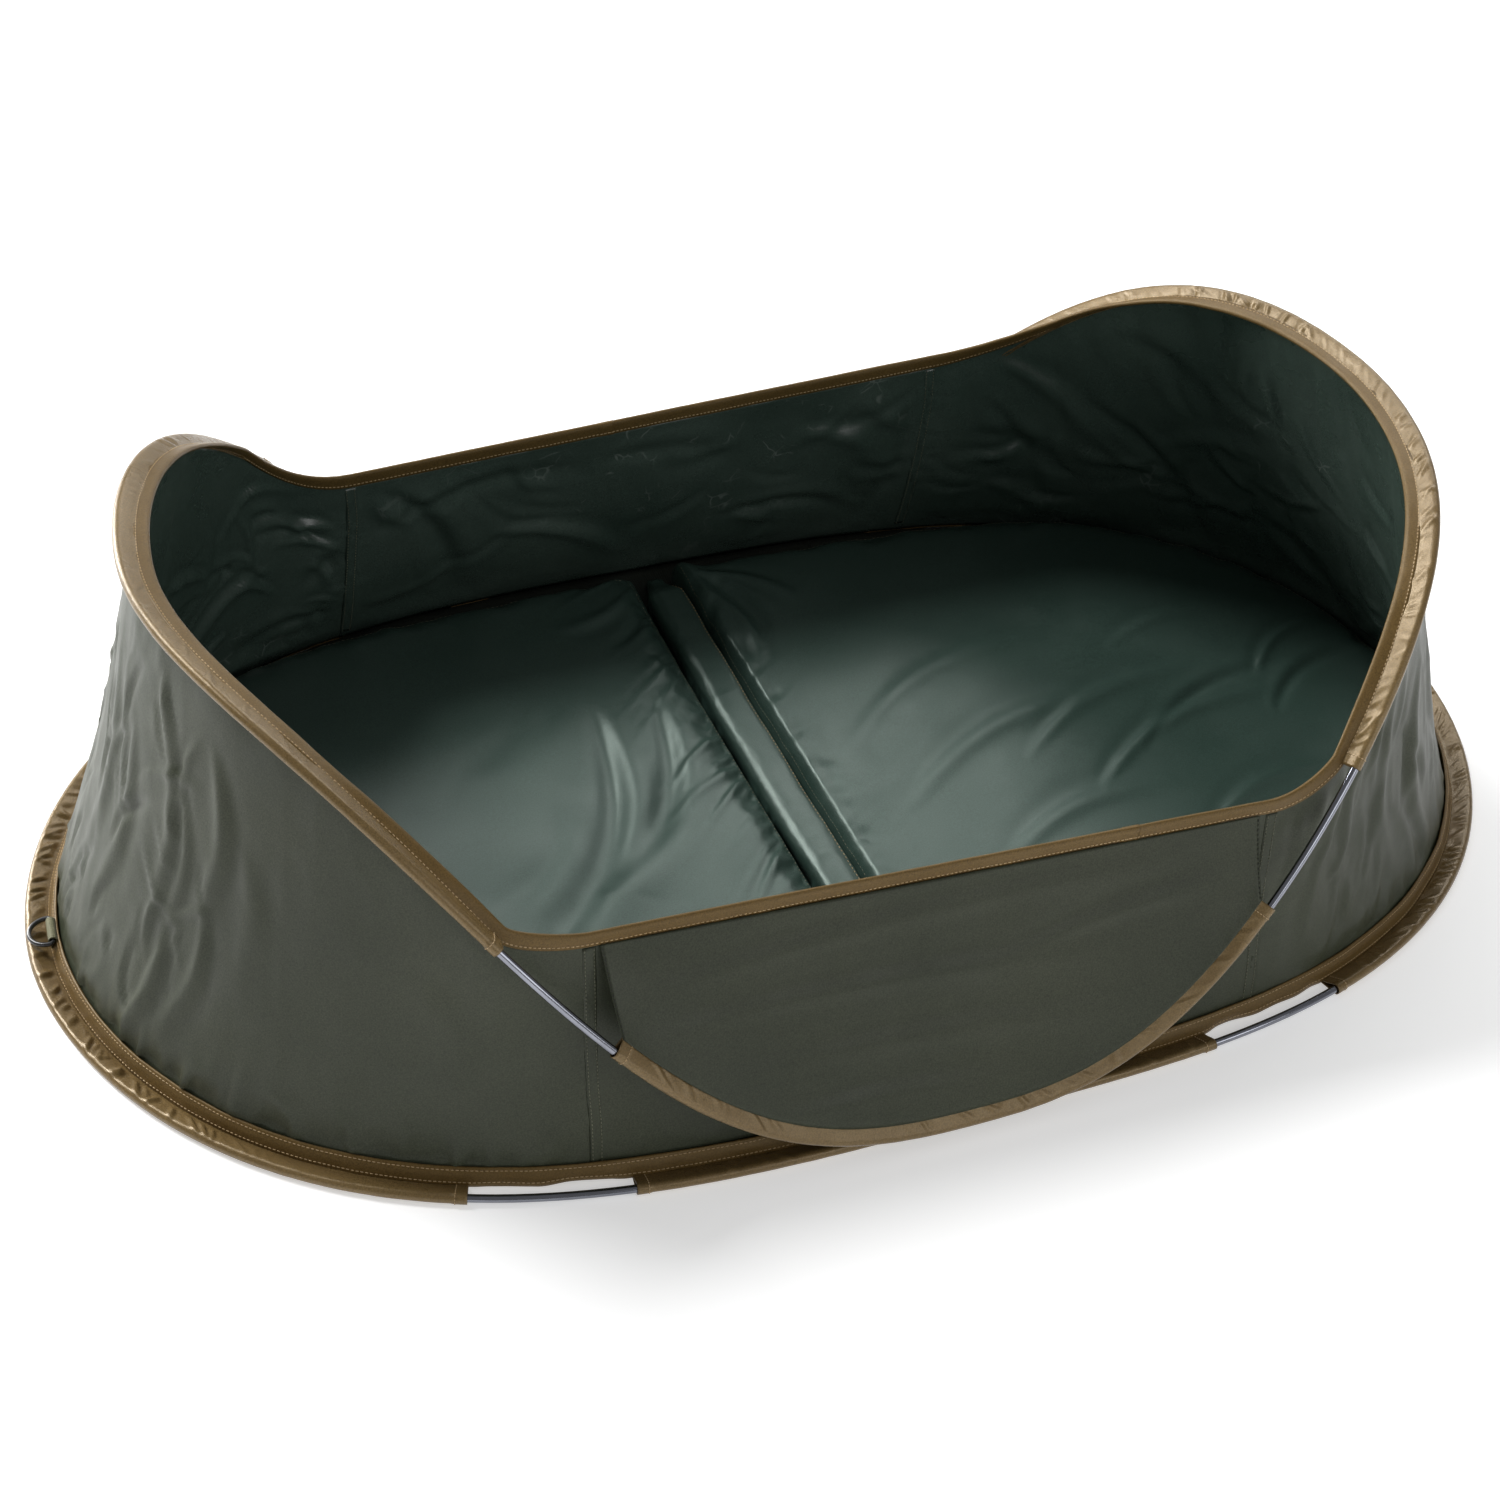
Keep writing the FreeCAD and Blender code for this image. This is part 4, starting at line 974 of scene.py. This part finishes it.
def make_hem_tape():
    """The tape folded round the foot of the walls: one leaf under them, one up outside."""
    turns = even_turns(lambda t: hem(t, TAPE_OUTER_INSET), (0.0, 2 * math.pi), 2.6 * MM)[:-1]
    outline = hem(turns)
    inward = inward_of(hem_outline, turns)
    run = lengths_along(outline)
    fold = np.array([17.4, 1.7]) * MM
    leaf_top = np.array([23.3, 13.4]) * MM
    inner_edge = np.array([TAPE_INNER_INSET, 1.0 * MM])
    under = np.linspace(0, 1, 6)[:, None]
    under = inner_edge * (1 - under) + (fold + np.array([1.4, -0.8]) * MM) * under
    upright = np.linspace(0.10, 1, 9)[:, None]
    bulge = np.sin(math.pi * upright) * np.array([-0.7, 0.35]) * MM
    upright = fold * (1 - upright) + leaf_top * upright + bulge
    lip = leaf_top + np.array([[0.5, 0.5], [1.2, 0.1], [1.3, -1.2]]) * MM
    profile = np.concatenate([under, [fold + np.array([0.1, -0.5]) * MM], upright, lip])
    x = outline[:, 0]
    low = np.where(x < 0, HEM_END_SLEEVE_X["left"], HEM_SIDE_SLEEVE_X[1])
    high = np.where(x < 0, HEM_SIDE_SLEEVE_X[0], HEM_END_SLEEVE_X["right"])
    middle, half = (low + high) / 2, (high - low) / 2
    bare = smoothstep((half - np.abs(x - middle)) / 0.015)[None]
    near_fold = np.exp(-(np.linalg.norm(profile - fold, axis=1) / (6 * MM)) ** 2)[:, None]
    q = np.linspace(0, 1, len(profile))[:, None]
    s = run[None]
    sway = (value_noise(s / 0.032, q * 0 + 2, 342) * 2.4 + 0.8) * MM * bare
    curl = (value_noise(s / 0.024, q * 0, 341) * 1.8 + 1.5) * MM * bare
    ripple = value_noise(s / 0.018, q * 3, 343) * 0.35 * MM
    ripple += value_noise(s / 0.050, q * 1.5, 344) * 0.45 * MM
    inset = profile[:, :1] + sway * near_fold - ripple * (profile[:, 1:] > fold[1])
    height = profile[:, 1:] + np.maximum(curl, 0) * near_fold + ripple * 0.3
    points = outline[None] + inward[None] * inset[..., None]
    points[..., 2] = np.maximum(height, 0.4 * MM)
    made = cloth_grid("hem_tape_folded", points, [TAPE], 0.7 * MM, loop=True)
    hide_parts("hem_tape")
    leaf = unit(leaf_top - fold)
    face = inward * -leaf[1] + UP * leaf[0]
    lines = []
    for row in (8, len(profile) - 5):
        line = points[row] + face * 0.5 * MM
        lines.append((np.concatenate([line, line[:1]]), np.concatenate([face, face[:1]])))
    return lines


def make_floor():
    """The sheet under the padding."""
    turns = even_turns(lambda t: hem(t, TAPE_INNER_INSET), (0.0, 2 * math.pi), 6 * MM)[:-1]
    edge = hem(turns, TAPE_INNER_INSET - 2 * MM)
    share = np.linspace(1, 0.02, 40)[:, None, None]
    points = edge[None] * share
    sag = value_noise(points[..., 0] / 0.08, points[..., 1] / 0.08, 351) * 0.35 * MM
    points = points + UP * (1.2 * MM + sag)[..., None]
    floor = cloth_grid("floor_cloth", points, [BASE_FABRIC], 0.9 * MM, loop=True)
    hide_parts("floor_sheet")


def make_wall_seams():
    """The flat-felled seams between end and side walls, with two rows of stitches."""
    runs = []
    for end in ("left", "right"):
        for name, side in SIDE_SIGN.items():
            x = SEAM_X[end]
            turn = np.array([side * math.acos(x / (HEM_REACH - WALL_FOOT_INSET))])
            foot = hem(turn, WALL_FOOT_INSET, TAPE_TOP)[0]
            foot[0] = x
            top = side_seam(x, side)
            share = np.linspace(0.045, 0.985, 60)[:, None]
            line = foot * (1 - share) + top * share
            sag = 1.0 * MM + wall_sag(share, WALL_HOLLOW[name])
            line = line + np.array([[0, -side, 0]]) * sag
            along = unit(top - foot)
            out = unit(np.cross(along, np.array([1.0, 0, 0])))
            out = out * np.sign(out[1] * side)
            aside = unit(np.cross(out, along))
            kink = value_noise(share[:, 0] * 5, share[:, 0] * 0, 400 + side) * 1.2 * MM
            line = line + aside * kink[:, None]
            across = np.linspace(-1, 1, 11)[:, None]
            lift = 0.75 * MM - 0.60 * MM * np.abs(across) ** 4
            pucker = (crinkle(share[:, 0][None] * 14 + 0 * across, across * 0.8, 410 + side)
                      - 0.4) * 0.8 * MM
            for face, material in ((1, NYLON_OUT), (-1, NYLON_IN)):
                band = (line[None] + aside * (across * 4.8 * MM)[..., None]
                        + out * (face * (lift + pucker * (0.3 if face > 0 else 1.0)))[..., None])
                band = band if face * END_SIGN["right"] > 0 else band[::-1]
                label = "seam_%s_%s_%s" % (name, end, "outside" if face > 0 else "inside")
                cloth_grid(label, band, [material], 0.4 * MM)
                for offset in (-3.3 * MM, 3.3 * MM):
                    thread = line + aside * offset + out * (face * 1.05 * MM)
                    runs.append((thread, np.tile(out * face, (len(thread), 1))))
    return runs


# ---------------------------------------------------------------- padded floor
def pad_edge(turn):
    """The edge of the padding, drawn in towards the fold."""
    x = HEM_REACH * np.cos(turn)
    return hem(turn, (PAD_INSET + PAD_WAIST * np.maximum(0, 1 - (x / 0.38) ** 2))[..., None])


def pad_outline(end, inner_x, step):
    """The edge of one half of the padding: round the end, and straight along the fold."""
    reach = HEM_REACH - PAD_INSET
    span = span_round(end, END_SIGN[end] * inner_x, reach)
    curve = pad_edge(even_turns(pad_edge, span, step))
    curve[[0, -1], 0] = END_SIGN[end] * inner_x
    count = round(np.linalg.norm(curve[0] - curve[-1]) / step)
    share = np.linspace(0, 1, count + 1)[1:-1, None]
    straight = curve[-1] * (1 - share) + curve[0] * share
    return np.concatenate([curve, straight])


def pad_body(end, inner_x, top):
    """A closed crowned form on the outline of one half of the padding."""
    edge = pad_outline(end, inner_x, 6 * MM)
    centre = edge.mean(0)
    tangent = np.roll(edge, -1, 0) - np.roll(edge, 1, 0)
    inward = unit(np.cross(UP, tangent))
    if ((centre - edge) * inward).sum() < 0:
        inward = -inward
    levels = [(4, PAD_BASE), (1, PAD_BASE + 3 * MM), (0, 9 * MM), (1.2, 13.5 * MM),
              (4.5, 17.5 * MM), (10, top - 1 * MM)]
    rings = [edge + inward * inset * MM + UP * z for inset, z in levels]
    broad = edge + inward * 10 * MM
    shares = (0.93, 0.85, 0.75, 0.6, 0.45, 0.3, 0.15, 0.04)
    rings += [centre + (broad - centre) * k + UP * (top + 2.0 * MM * (1 - k)) for k in shares]
    count = len(edge)
    faces = [tuple(reversed(f)) for f in grid_faces(len(rings), count, True)]
    faces.append(tuple(range(count)))
    faces.append(tuple((len(rings) - 1) * count + k for k in reversed(range(count))))
    return np.concatenate(rings), faces


SIMULATED_FRAMES = 20


def simulated(points, faces, voxel, pressure, cap, growth, rigid_below):
    """Points and faces after the cloth is remeshed and blown up, moved by no more than cap."""
    mesh = bpy.data.meshes.new("pad_start")
    mesh.from_pydata(points.tolist(), [], faces)
    start = linked("pad_start", mesh)
    remesh = start.modifiers.new("remesh", "REMESH")
    remesh.mode = "VOXEL"
    remesh.voxel_size = voxel
    made = applied(start)
    start.modifiers.clear()
    start.data = made
    rest = corner_points(made)
    pinned = start.vertex_groups.new(name="pinned")
    low = np.nonzero(rest[:, 2] < rigid_below)[0].tolist()
    pinned.add(low, 1.0, "REPLACE")
    cloth = start.modifiers.new("cloth", "CLOTH")
    cloth.settings.vertex_group_mass = "pinned"
    cloth.settings.use_pressure = True
    cloth.settings.uniform_pressure_force = pressure
    cloth.settings.shrink_min = -growth
    cloth.settings.tension_stiffness = 20
    cloth.settings.compression_stiffness = 20
    cloth.settings.bending_stiffness = 0.2
    cloth.settings.effector_weights.gravity = 0
    scene = bpy.context.scene
    cloth.point_cache.frame_start = 1
    cloth.point_cache.frame_end = SIMULATED_FRAMES
    for number in range(1, SIMULATED_FRAMES + 1):
        scene.frame_set(number)
    step = (corner_points(applied(start)) - rest) * np.array([0.4, 0.4, 1.0])
    size = np.linalg.norm(step, axis=1, keepdims=True)
    rest = rest + step * (cap * np.tanh(size / cap) / np.maximum(size, 1e-9))
    scene.frame_set(1)
    quads = [tuple(p.vertices) for p in made.polygons]
    bpy.data.objects.remove(start)
    return rest, quads


def subdivided(points, faces):
    """Smooth finer points and faces."""
    mesh = bpy.data.meshes.new("fine")
    mesh.from_pydata(points.tolist(), [], faces)
    holder = linked("fine", mesh)
    finer = holder.modifiers.new("finer", "SUBSURF")
    finer.levels = 1
    made = applied(holder)
    quads = [tuple(p.vertices) for p in made.polygons]
    bpy.data.objects.remove(holder)
    return corner_points(made), quads


PAD_FOLDS = {
    "left": [
        ((-0.115, 0.140), (-0.255, -0.130), 15 * MM, -8.0 * MM),
        ((-0.062, 0.140), (-0.177, -0.075), 13 * MM, -6.5 * MM),
        ((-0.035, -0.130), (-0.080, -0.280), 10 * MM, -3.4 * MM),
        ((-0.180, 0.030), (-0.270, -0.070), 13 * MM, -2.2 * MM),
        ((-0.140, 0.190), (-0.260, 0.085), 20 * MM, -2.2 * MM),
        ((-0.230, -0.100), (-0.290, -0.200), 15 * MM, -2.2 * MM),
        ((-0.330, 0.020), (-0.400, -0.080), 20 * MM, 2.0 * MM),
        ((-0.024, 0.285), (-0.070, 0.205), 7 * MM, -3.2 * MM),
        ((-0.024, 0.285), (-0.110, 0.240), 7 * MM, 2.6 * MM),
        ((-0.024, 0.270), (-0.040, 0.170), 6 * MM, 3.0 * MM),
    ],
    "right": [
        ((0.060, 0.020), (0.300, 0.120), 12 * MM, 2.2 * MM),
        ((0.080, -0.060), (0.330, 0.030), 12 * MM, 2.4 * MM),
        ((0.200, -0.030), (0.420, 0.035), 9 * MM, 2.4 * MM),
        ((0.240, -0.085), (0.450, -0.010), 8 * MM, 3.0 * MM),
        ((0.300, -0.050), (0.480, 0.020), 7 * MM, -2.4 * MM),
        ((0.120, -0.150), (0.310, -0.090), 11 * MM, 2.2 * MM),
        ((0.330, 0.080), (0.480, 0.100), 8 * MM, 1.8 * MM),
        ((0.440, 0.010), (0.540, 0.070), 6 * MM, 3.4 * MM),
        ((0.430, -0.040), (0.540, 0.020), 7 * MM, -3.0 * MM),
        ((0.300, -0.160), (0.450, -0.110), 8 * MM, 2.4 * MM),
        ((0.200, -0.240), (0.400, -0.160), 10 * MM, 2.4 * MM),
        ((0.150, -0.200), (0.260, -0.165), 7 * MM, 1.8 * MM),
        ((0.024, 0.285), (0.065, 0.190), 7 * MM, -3.2 * MM),
        ((0.024, 0.285), (0.105, 0.225), 7 * MM, 3.0 * MM),
        ((0.024, 0.270), (0.042, 0.150), 6 * MM, 3.0 * MM),
    ],
}


def pad_puckers(end, x, y):
    """Short slanting gathers that run out from the seam beside the roll."""
    rng = np.random.default_rng(520 + END_SIGN[end])
    away = np.abs(x) - ROLL_HALF_WIDTH
    slant = {"left": -0.9, "right": 0.55}[end]
    relief = np.zeros(len(x))
    at = -0.33
    while at < 0.33:
        at += rng.uniform(9, 24) * MM
        lean = slant + rng.normal(0, 0.18)
        reach = rng.uniform(20, 58) * MM
        width = rng.uniform(4.0, 7.5) * MM
        tall = rng.uniform(0.4, 1.0) * {"left": 3.4, "right": 0.5}[end] * MM
        aside = (y - at - lean * away) / width
        ridge = np.exp(-aside ** 2) - 0.5 * np.exp(-((aside - 1.7) / 1.2) ** 2)
        relief += tall * ridge * np.exp(-(away / reach) ** 2) * smoothstep(away / (5 * MM))
    return relief


def levelled(points, upper, away):
    """How far to lift a pad's top beside the roll to bring it level with the rest."""
    tops = upper > 0.9
    steps = np.arange(4, 52, 4) * MM
    near = [np.median(points[tops & (np.abs(away - a) < 2.5 * MM), 2]) for a in steps]
    far = np.median(points[tops & (np.abs(away - 60 * MM) < 10 * MM), 2])
    return np.interp(np.maximum(away, 4 * MM), steps, far - np.array(near), right=0)


def make_pad(end):
    """One half of the padding: foam in a satin lining, with drag folds."""
    points, faces = pad_body(end, ROLL_HALF_WIDTH - 0.5 * MM, PAD_TOP)
    points, faces = simulated(points, faces, 5 * MM, 4.0, 4 * MM, 0.02, 6 * MM)
    points, faces = subdivided(points, faces)
    upper = smoothstep((points[:, 2] - 12 * MM) / (6 * MM))
    x, y = points[:, 0], points[:, 1]
    relief = fold_relief(x, y, PAD_FOLDS[end])
    relief += value_noise(x / 0.09, y / 0.06, 500 + END_SIGN[end]) * 1.0 * MM
    edge = pad_outline(end, ROLL_HALF_WIDTH, 6 * MM)
    tree = BVHTree.FromPolygons([Vector((p[0], p[1], 0.0)) for p in edge] +
                                [Vector((p[0], p[1], 0.001)) for p in edge],
                                [(k, (k + 1) % len(edge), len(edge) + (k + 1) % len(edge),
                                  len(edge) + k) for k in range(len(edge))])
    inset = np.array([tree.find_nearest(Vector((a, b, 0)))[3] for a, b in zip(x, y)])
    edge_gathers = (crinkle(np.arctan2(y, x - END_SIGN[end] * 0.25) / 0.055, inset / 0.05,
                            510 + END_SIGN[end]) - 0.4) * 1.2 * MM * np.exp(-inset / 0.020)
    edge_gathers = edge_gathers * smoothstep((np.abs(x) - 0.05) / 0.03)
    away = np.abs(x) - ROLL_HALF_WIDTH
    if end == "left":
        slump = 3.5 * MM * np.exp(-away / 0.016)
    else:
        slump = -levelled(points, upper, away)
    points[:, 2] += (relief * smoothstep(inset / 0.03) + edge_gathers
                     + pad_puckers(end, x, y) - slump) * upper
    points[:, 2] = np.minimum(points[:, 2], PAD_CEILING)
    pad = mesh_object(end + "_pad_padded", points, faces, points[:, :2], [LINING])
    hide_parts(end + "_pad_lining", end + "_foam_slab")
    surface = BVHTree.FromPolygons([Vector(p) for p in points], faces)
    centre = edge.mean(0)
    line = centre + (edge - centre) * 0.975
    laid = []
    for p in line:
        hit = surface.ray_cast(Vector((p[0], p[1], 0.1)), Vector((0, 0, -1)))
        laid.append(hit[0] if hit[0] else Vector((p[0], p[1], PAD_TOP)))
    laid = np.array(laid) + UP * 0.15 * MM
    return [(np.concatenate([laid, laid[:1]]), np.tile(UP, (len(laid) + 1, 1)))]


def make_roll():
    """The narrow padded roll between the halves, gathered at its ends."""
    ys = np.linspace(-ROLL_HALF_LENGTH, ROLL_HALF_LENGTH, 260)
    from_end = ROLL_HALF_LENGTH - np.abs(ys)
    close = 0.45 + 0.55 * smoothstep(from_end / 0.035)
    angles = np.linspace(0, 2 * math.pi, 41)[:-1]
    across = ROLL_HALF_WIDTH * np.sign(np.cos(angles)) * np.abs(np.cos(angles)) ** 0.7
    height = np.where(np.sin(angles) > 0, PAD_TOP * np.abs(np.sin(angles)) ** 0.30,
                      -0.5 * MM * np.abs(np.sin(angles)))
    s, a = ys[:, None], angles[None]
    swell = 1 + 0.025 * value_noise(s / 0.05, a * 2, 601)
    gather = (crinkle(a * 5.5, s / 0.06, 603) - 0.4) * 2.4 * MM
    gather = gather * (0.10 + 0.90 * np.exp(-from_end / 0.03))[:, None]
    cross = (crinkle(s / 0.030 + 0.25 * a, a * 1.3 + 4, 607) - 0.35) * 0.7 * MM
    gather = gather + cross
    lean = value_noise(ys / 0.10, ys * 0, 605) * 1.5 * MM
    radial = np.stack([np.cos(a) + 0 * s, 0 * a + 0 * s, np.clip(np.sin(a), 0, 1) + 0 * s], -1)
    points = np.stack([across[None] * swell * close[:, None] + lean[:, None],
                       np.tile(ys[:, None], (1, len(angles))),
                       PAD_BASE + 0.6 * MM + height[None] * swell * close[:, None]], -1)
    points = points + unit(radial) * gather[..., None]
    rows, columns = points.shape[:2]
    faces = grid_faces(rows, columns, True)
    faces.append(tuple(reversed(range(columns))))
    faces.append(tuple((rows - 1) * columns + k for k in range(columns)))
    uv = np.stack([np.tile(ys[:, None], (1, columns)), np.tile(angles * 0.012, (rows, 1))],
                  -1).reshape(-1, 2)
    roll = mesh_object("fold_roll_padded", points.reshape(-1, 3), faces, uv, [LINING])
    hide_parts("fold_roll_cover", "fold_roll_core")
    up_face = unit(np.array([0.6, 0.0, 0.8]))
    return [(points[8:-8, 5] + up_face * 0.1 * MM, np.tile(up_face, (rows - 16, 1)))]


# ---------------------------------------------------------------- tab and ring
def make_tab():
    """The ribbed webbing folded round the D-ring's bar, and its stitches."""
    hinge = frame["joints"][0]
    bar = np.array(hinge["pos_m"])
    across = unit(np.array(hinge["axis"]))
    inward = unit(np.cross(across, UP))
    if inward[0] < 0:
        inward = -inward
    radius = 2.85 * MM
    bend = np.linspace(-0.30 * math.pi, 1.30 * math.pi, 25)
    loop = np.stack([radius * np.cos(bend), radius * np.sin(bend)], -1)
    depth = bar[2] - TAPE_TOP
    leg = np.linspace(1, 0, 8)[:-1, None]
    right = np.array([[0.75 * MM, -depth]]) * leg + loop[:1] * (1 - leg)
    left = np.array([[-0.75 * MM, -depth]]) * leg + loop[-1:] * (1 - leg)
    profile = np.concatenate([right, loop, left[::-1]])
    widths = np.linspace(-11 * MM, 11 * MM, 90)
    ribs = 0.22 * MM * np.abs(np.sin(math.pi * widths / (1.9 * MM)))
    points = (bar + inward * profile[:, None, :1] + UP * profile[:, None, 1:]
              + across * widths[None, :, None])
    outward = grid_normals(points, False)
    if (outward[len(profile) // 2] * UP).sum(-1).mean() < 0:
        outward = -outward
    points = points + outward * ribs[None, :, None]
    tab = cloth_grid("d_ring_tab_webbing", points, [WEBBING], 1.1 * MM)
    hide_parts("d_ring_tab")
    line = np.linspace(-9.5 * MM, 9.5 * MM, 12)[:, None]
    runs = []
    for face in (-1, 1):
        for height in (-5.4 * MM, -7.4 * MM):
            thread = (bar + across * line + UP * height + inward * (face * 1.9 * MM))
            runs.append((thread, np.tile(inward * face, (12, 1))))
    return runs


def dress_cad_nodes():
    """The steel pieces keep their CAD shape and get their finish."""
    finishes = {"hem_hoop_wire": SPRING_STEEL, "rim_hoop_wire": SPRING_STEEL,
                "hem_hoop_ferrule": FERRULE_STEEL, "rim_hoop_ferrule": FERRULE_STEEL,
                "d_ring": RING_ENAMEL}
    for name, material in finishes.items():
        for place in frame["nodes"][name].material_slots:
            place.material = material


# ---------------------------------------------------------------- camera, light, floor
def make_camera():
    azimuth, elevation, roll, distance = -0.461, 0.720, 0.100, 2.3
    back = Vector((math.sin(azimuth) * math.cos(elevation),
                   -math.cos(azimuth) * math.cos(elevation), math.sin(elevation)))
    right = Vector((math.cos(azimuth), math.sin(azimuth), 0))
    up = back.cross(right)
    across = right * math.cos(roll) + up * math.sin(roll)
    upward = up * math.cos(roll) - right * math.sin(roll)
    data = bpy.data.cameras.new("camera")
    data.sensor_width = 36
    data.lens = 68.57
    data.shift_x = -0.0226
    data.shift_y = 0.0395
    data.clip_start = 0.05
    camera = linked("camera", data)
    turned = Matrix((across, upward, back)).transposed().to_4x4()
    camera.matrix_world = Matrix.Translation(back * distance) @ turned
    bpy.context.scene.camera = camera


def add_sun(name, towards, spread, strength):
    data = bpy.data.lights.new(name, "SUN")
    data.angle = math.radians(spread)
    data.energy = strength
    lamp = linked(name, data)
    lamp.rotation_euler = Vector(towards).to_track_quat("Z", "Y").to_euler()


def add_softbox(name, place, aim, size, power):
    data = bpy.data.lights.new(name, "AREA")
    data.shape = "RECTANGLE"
    data.size, data.size_y = size
    data.energy = power
    lamp = linked(name, data)
    lamp.location = place
    lamp.rotation_euler = (Vector(place) - Vector(aim)).to_track_quat("Z", "Y").to_euler()


def make_studio():
    """A pale floor and soft lights: the key from behind on the left, and a fill in front."""
    mesh = bpy.data.meshes.new("studio_floor")
    half, drop = 12.0, -0.4 * MM
    mesh.from_pydata([(-half, -half, drop), (half, -half, drop), (half, half, drop),
                      (-half, half, drop)], [], [(0, 1, 2, 3)])
    material, _, _ = new_material("studio_floor", {
        "Base Color": (0.84, 0.84, 0.84, 1), "Roughness": 0.9,
        "Emission Color": (1, 1, 1, 1), "Emission Strength": 0.42})
    mesh.materials.append(material)
    floor = linked("studio_floor", mesh)
    world = bpy.data.worlds.new("studio")
    world.use_nodes = True
    world.node_tree.nodes["Background"].inputs["Color"].default_value = (1, 1, 1, 1)
    world.node_tree.nodes["Background"].inputs["Strength"].default_value = 0.24
    bpy.context.scene.world = world
    add_sun("key", (-0.55, 0.90, 1.15), 22, 2.5)
    add_softbox("left_strip", (-1.6, 2.2, 0.9), (-0.5, 0.0, 0.15), (0.6, 1.3), 68)
    add_softbox("gloss_panel", (1.6, 2.3, 2.2), (0.1, 0.0, 0.05), (3.2, 1.0), 46)
    add_softbox("front_fill", (1.1, -2.5, 1.3), (0.1, -0.3, 0.10), (2.2, 1.2), 18)
    bpy.context.scene.view_settings.view_transform = "Standard"


make_camera()
make_studio()
dress_cad_nodes()
sleeve_ends = make_sleeves()
rim_lines = make_binding("left") + make_binding("right")
tape_lines = make_hem_tape()
make_floor()
make_end_wall("left")
make_end_wall("right")
make_side_wall("front")
make_side_wall("back")
flap_edges = make_flap("front") + make_flap("back")
seam_lines = make_wall_seams()
pad_lines = make_pad("left") + make_pad("right")
roll_lines = make_roll()
tab_lines = make_tab()
stitches("rim_stitches", rim_lines, THREAD_TAN, radius=0.42 * MM)
stitches("hem_tape_stitches", tape_lines, THREAD_TAN)
stitches("sleeve_end_stitches", sleeve_ends, THREAD_TAN, 2.6 * MM)
stitches("seam_stitches", seam_lines, THREAD_OLIVE, 3.2 * MM, 0.68, 0.32 * MM)
stitches("flap_edge_stitches", flap_edges, THREAD_DARK, 3.6 * MM)
stitches("pad_stitches", pad_lines, THREAD_OLIVE, 4.2 * MM, 0.6, 0.24 * MM)
stitches("roll_stitches", roll_lines, THREAD_TAN, 4.2 * MM, 0.6, 0.24 * MM)
stitches("tab_stitches", tab_lines, THREAD_TAN, 2.6 * MM)
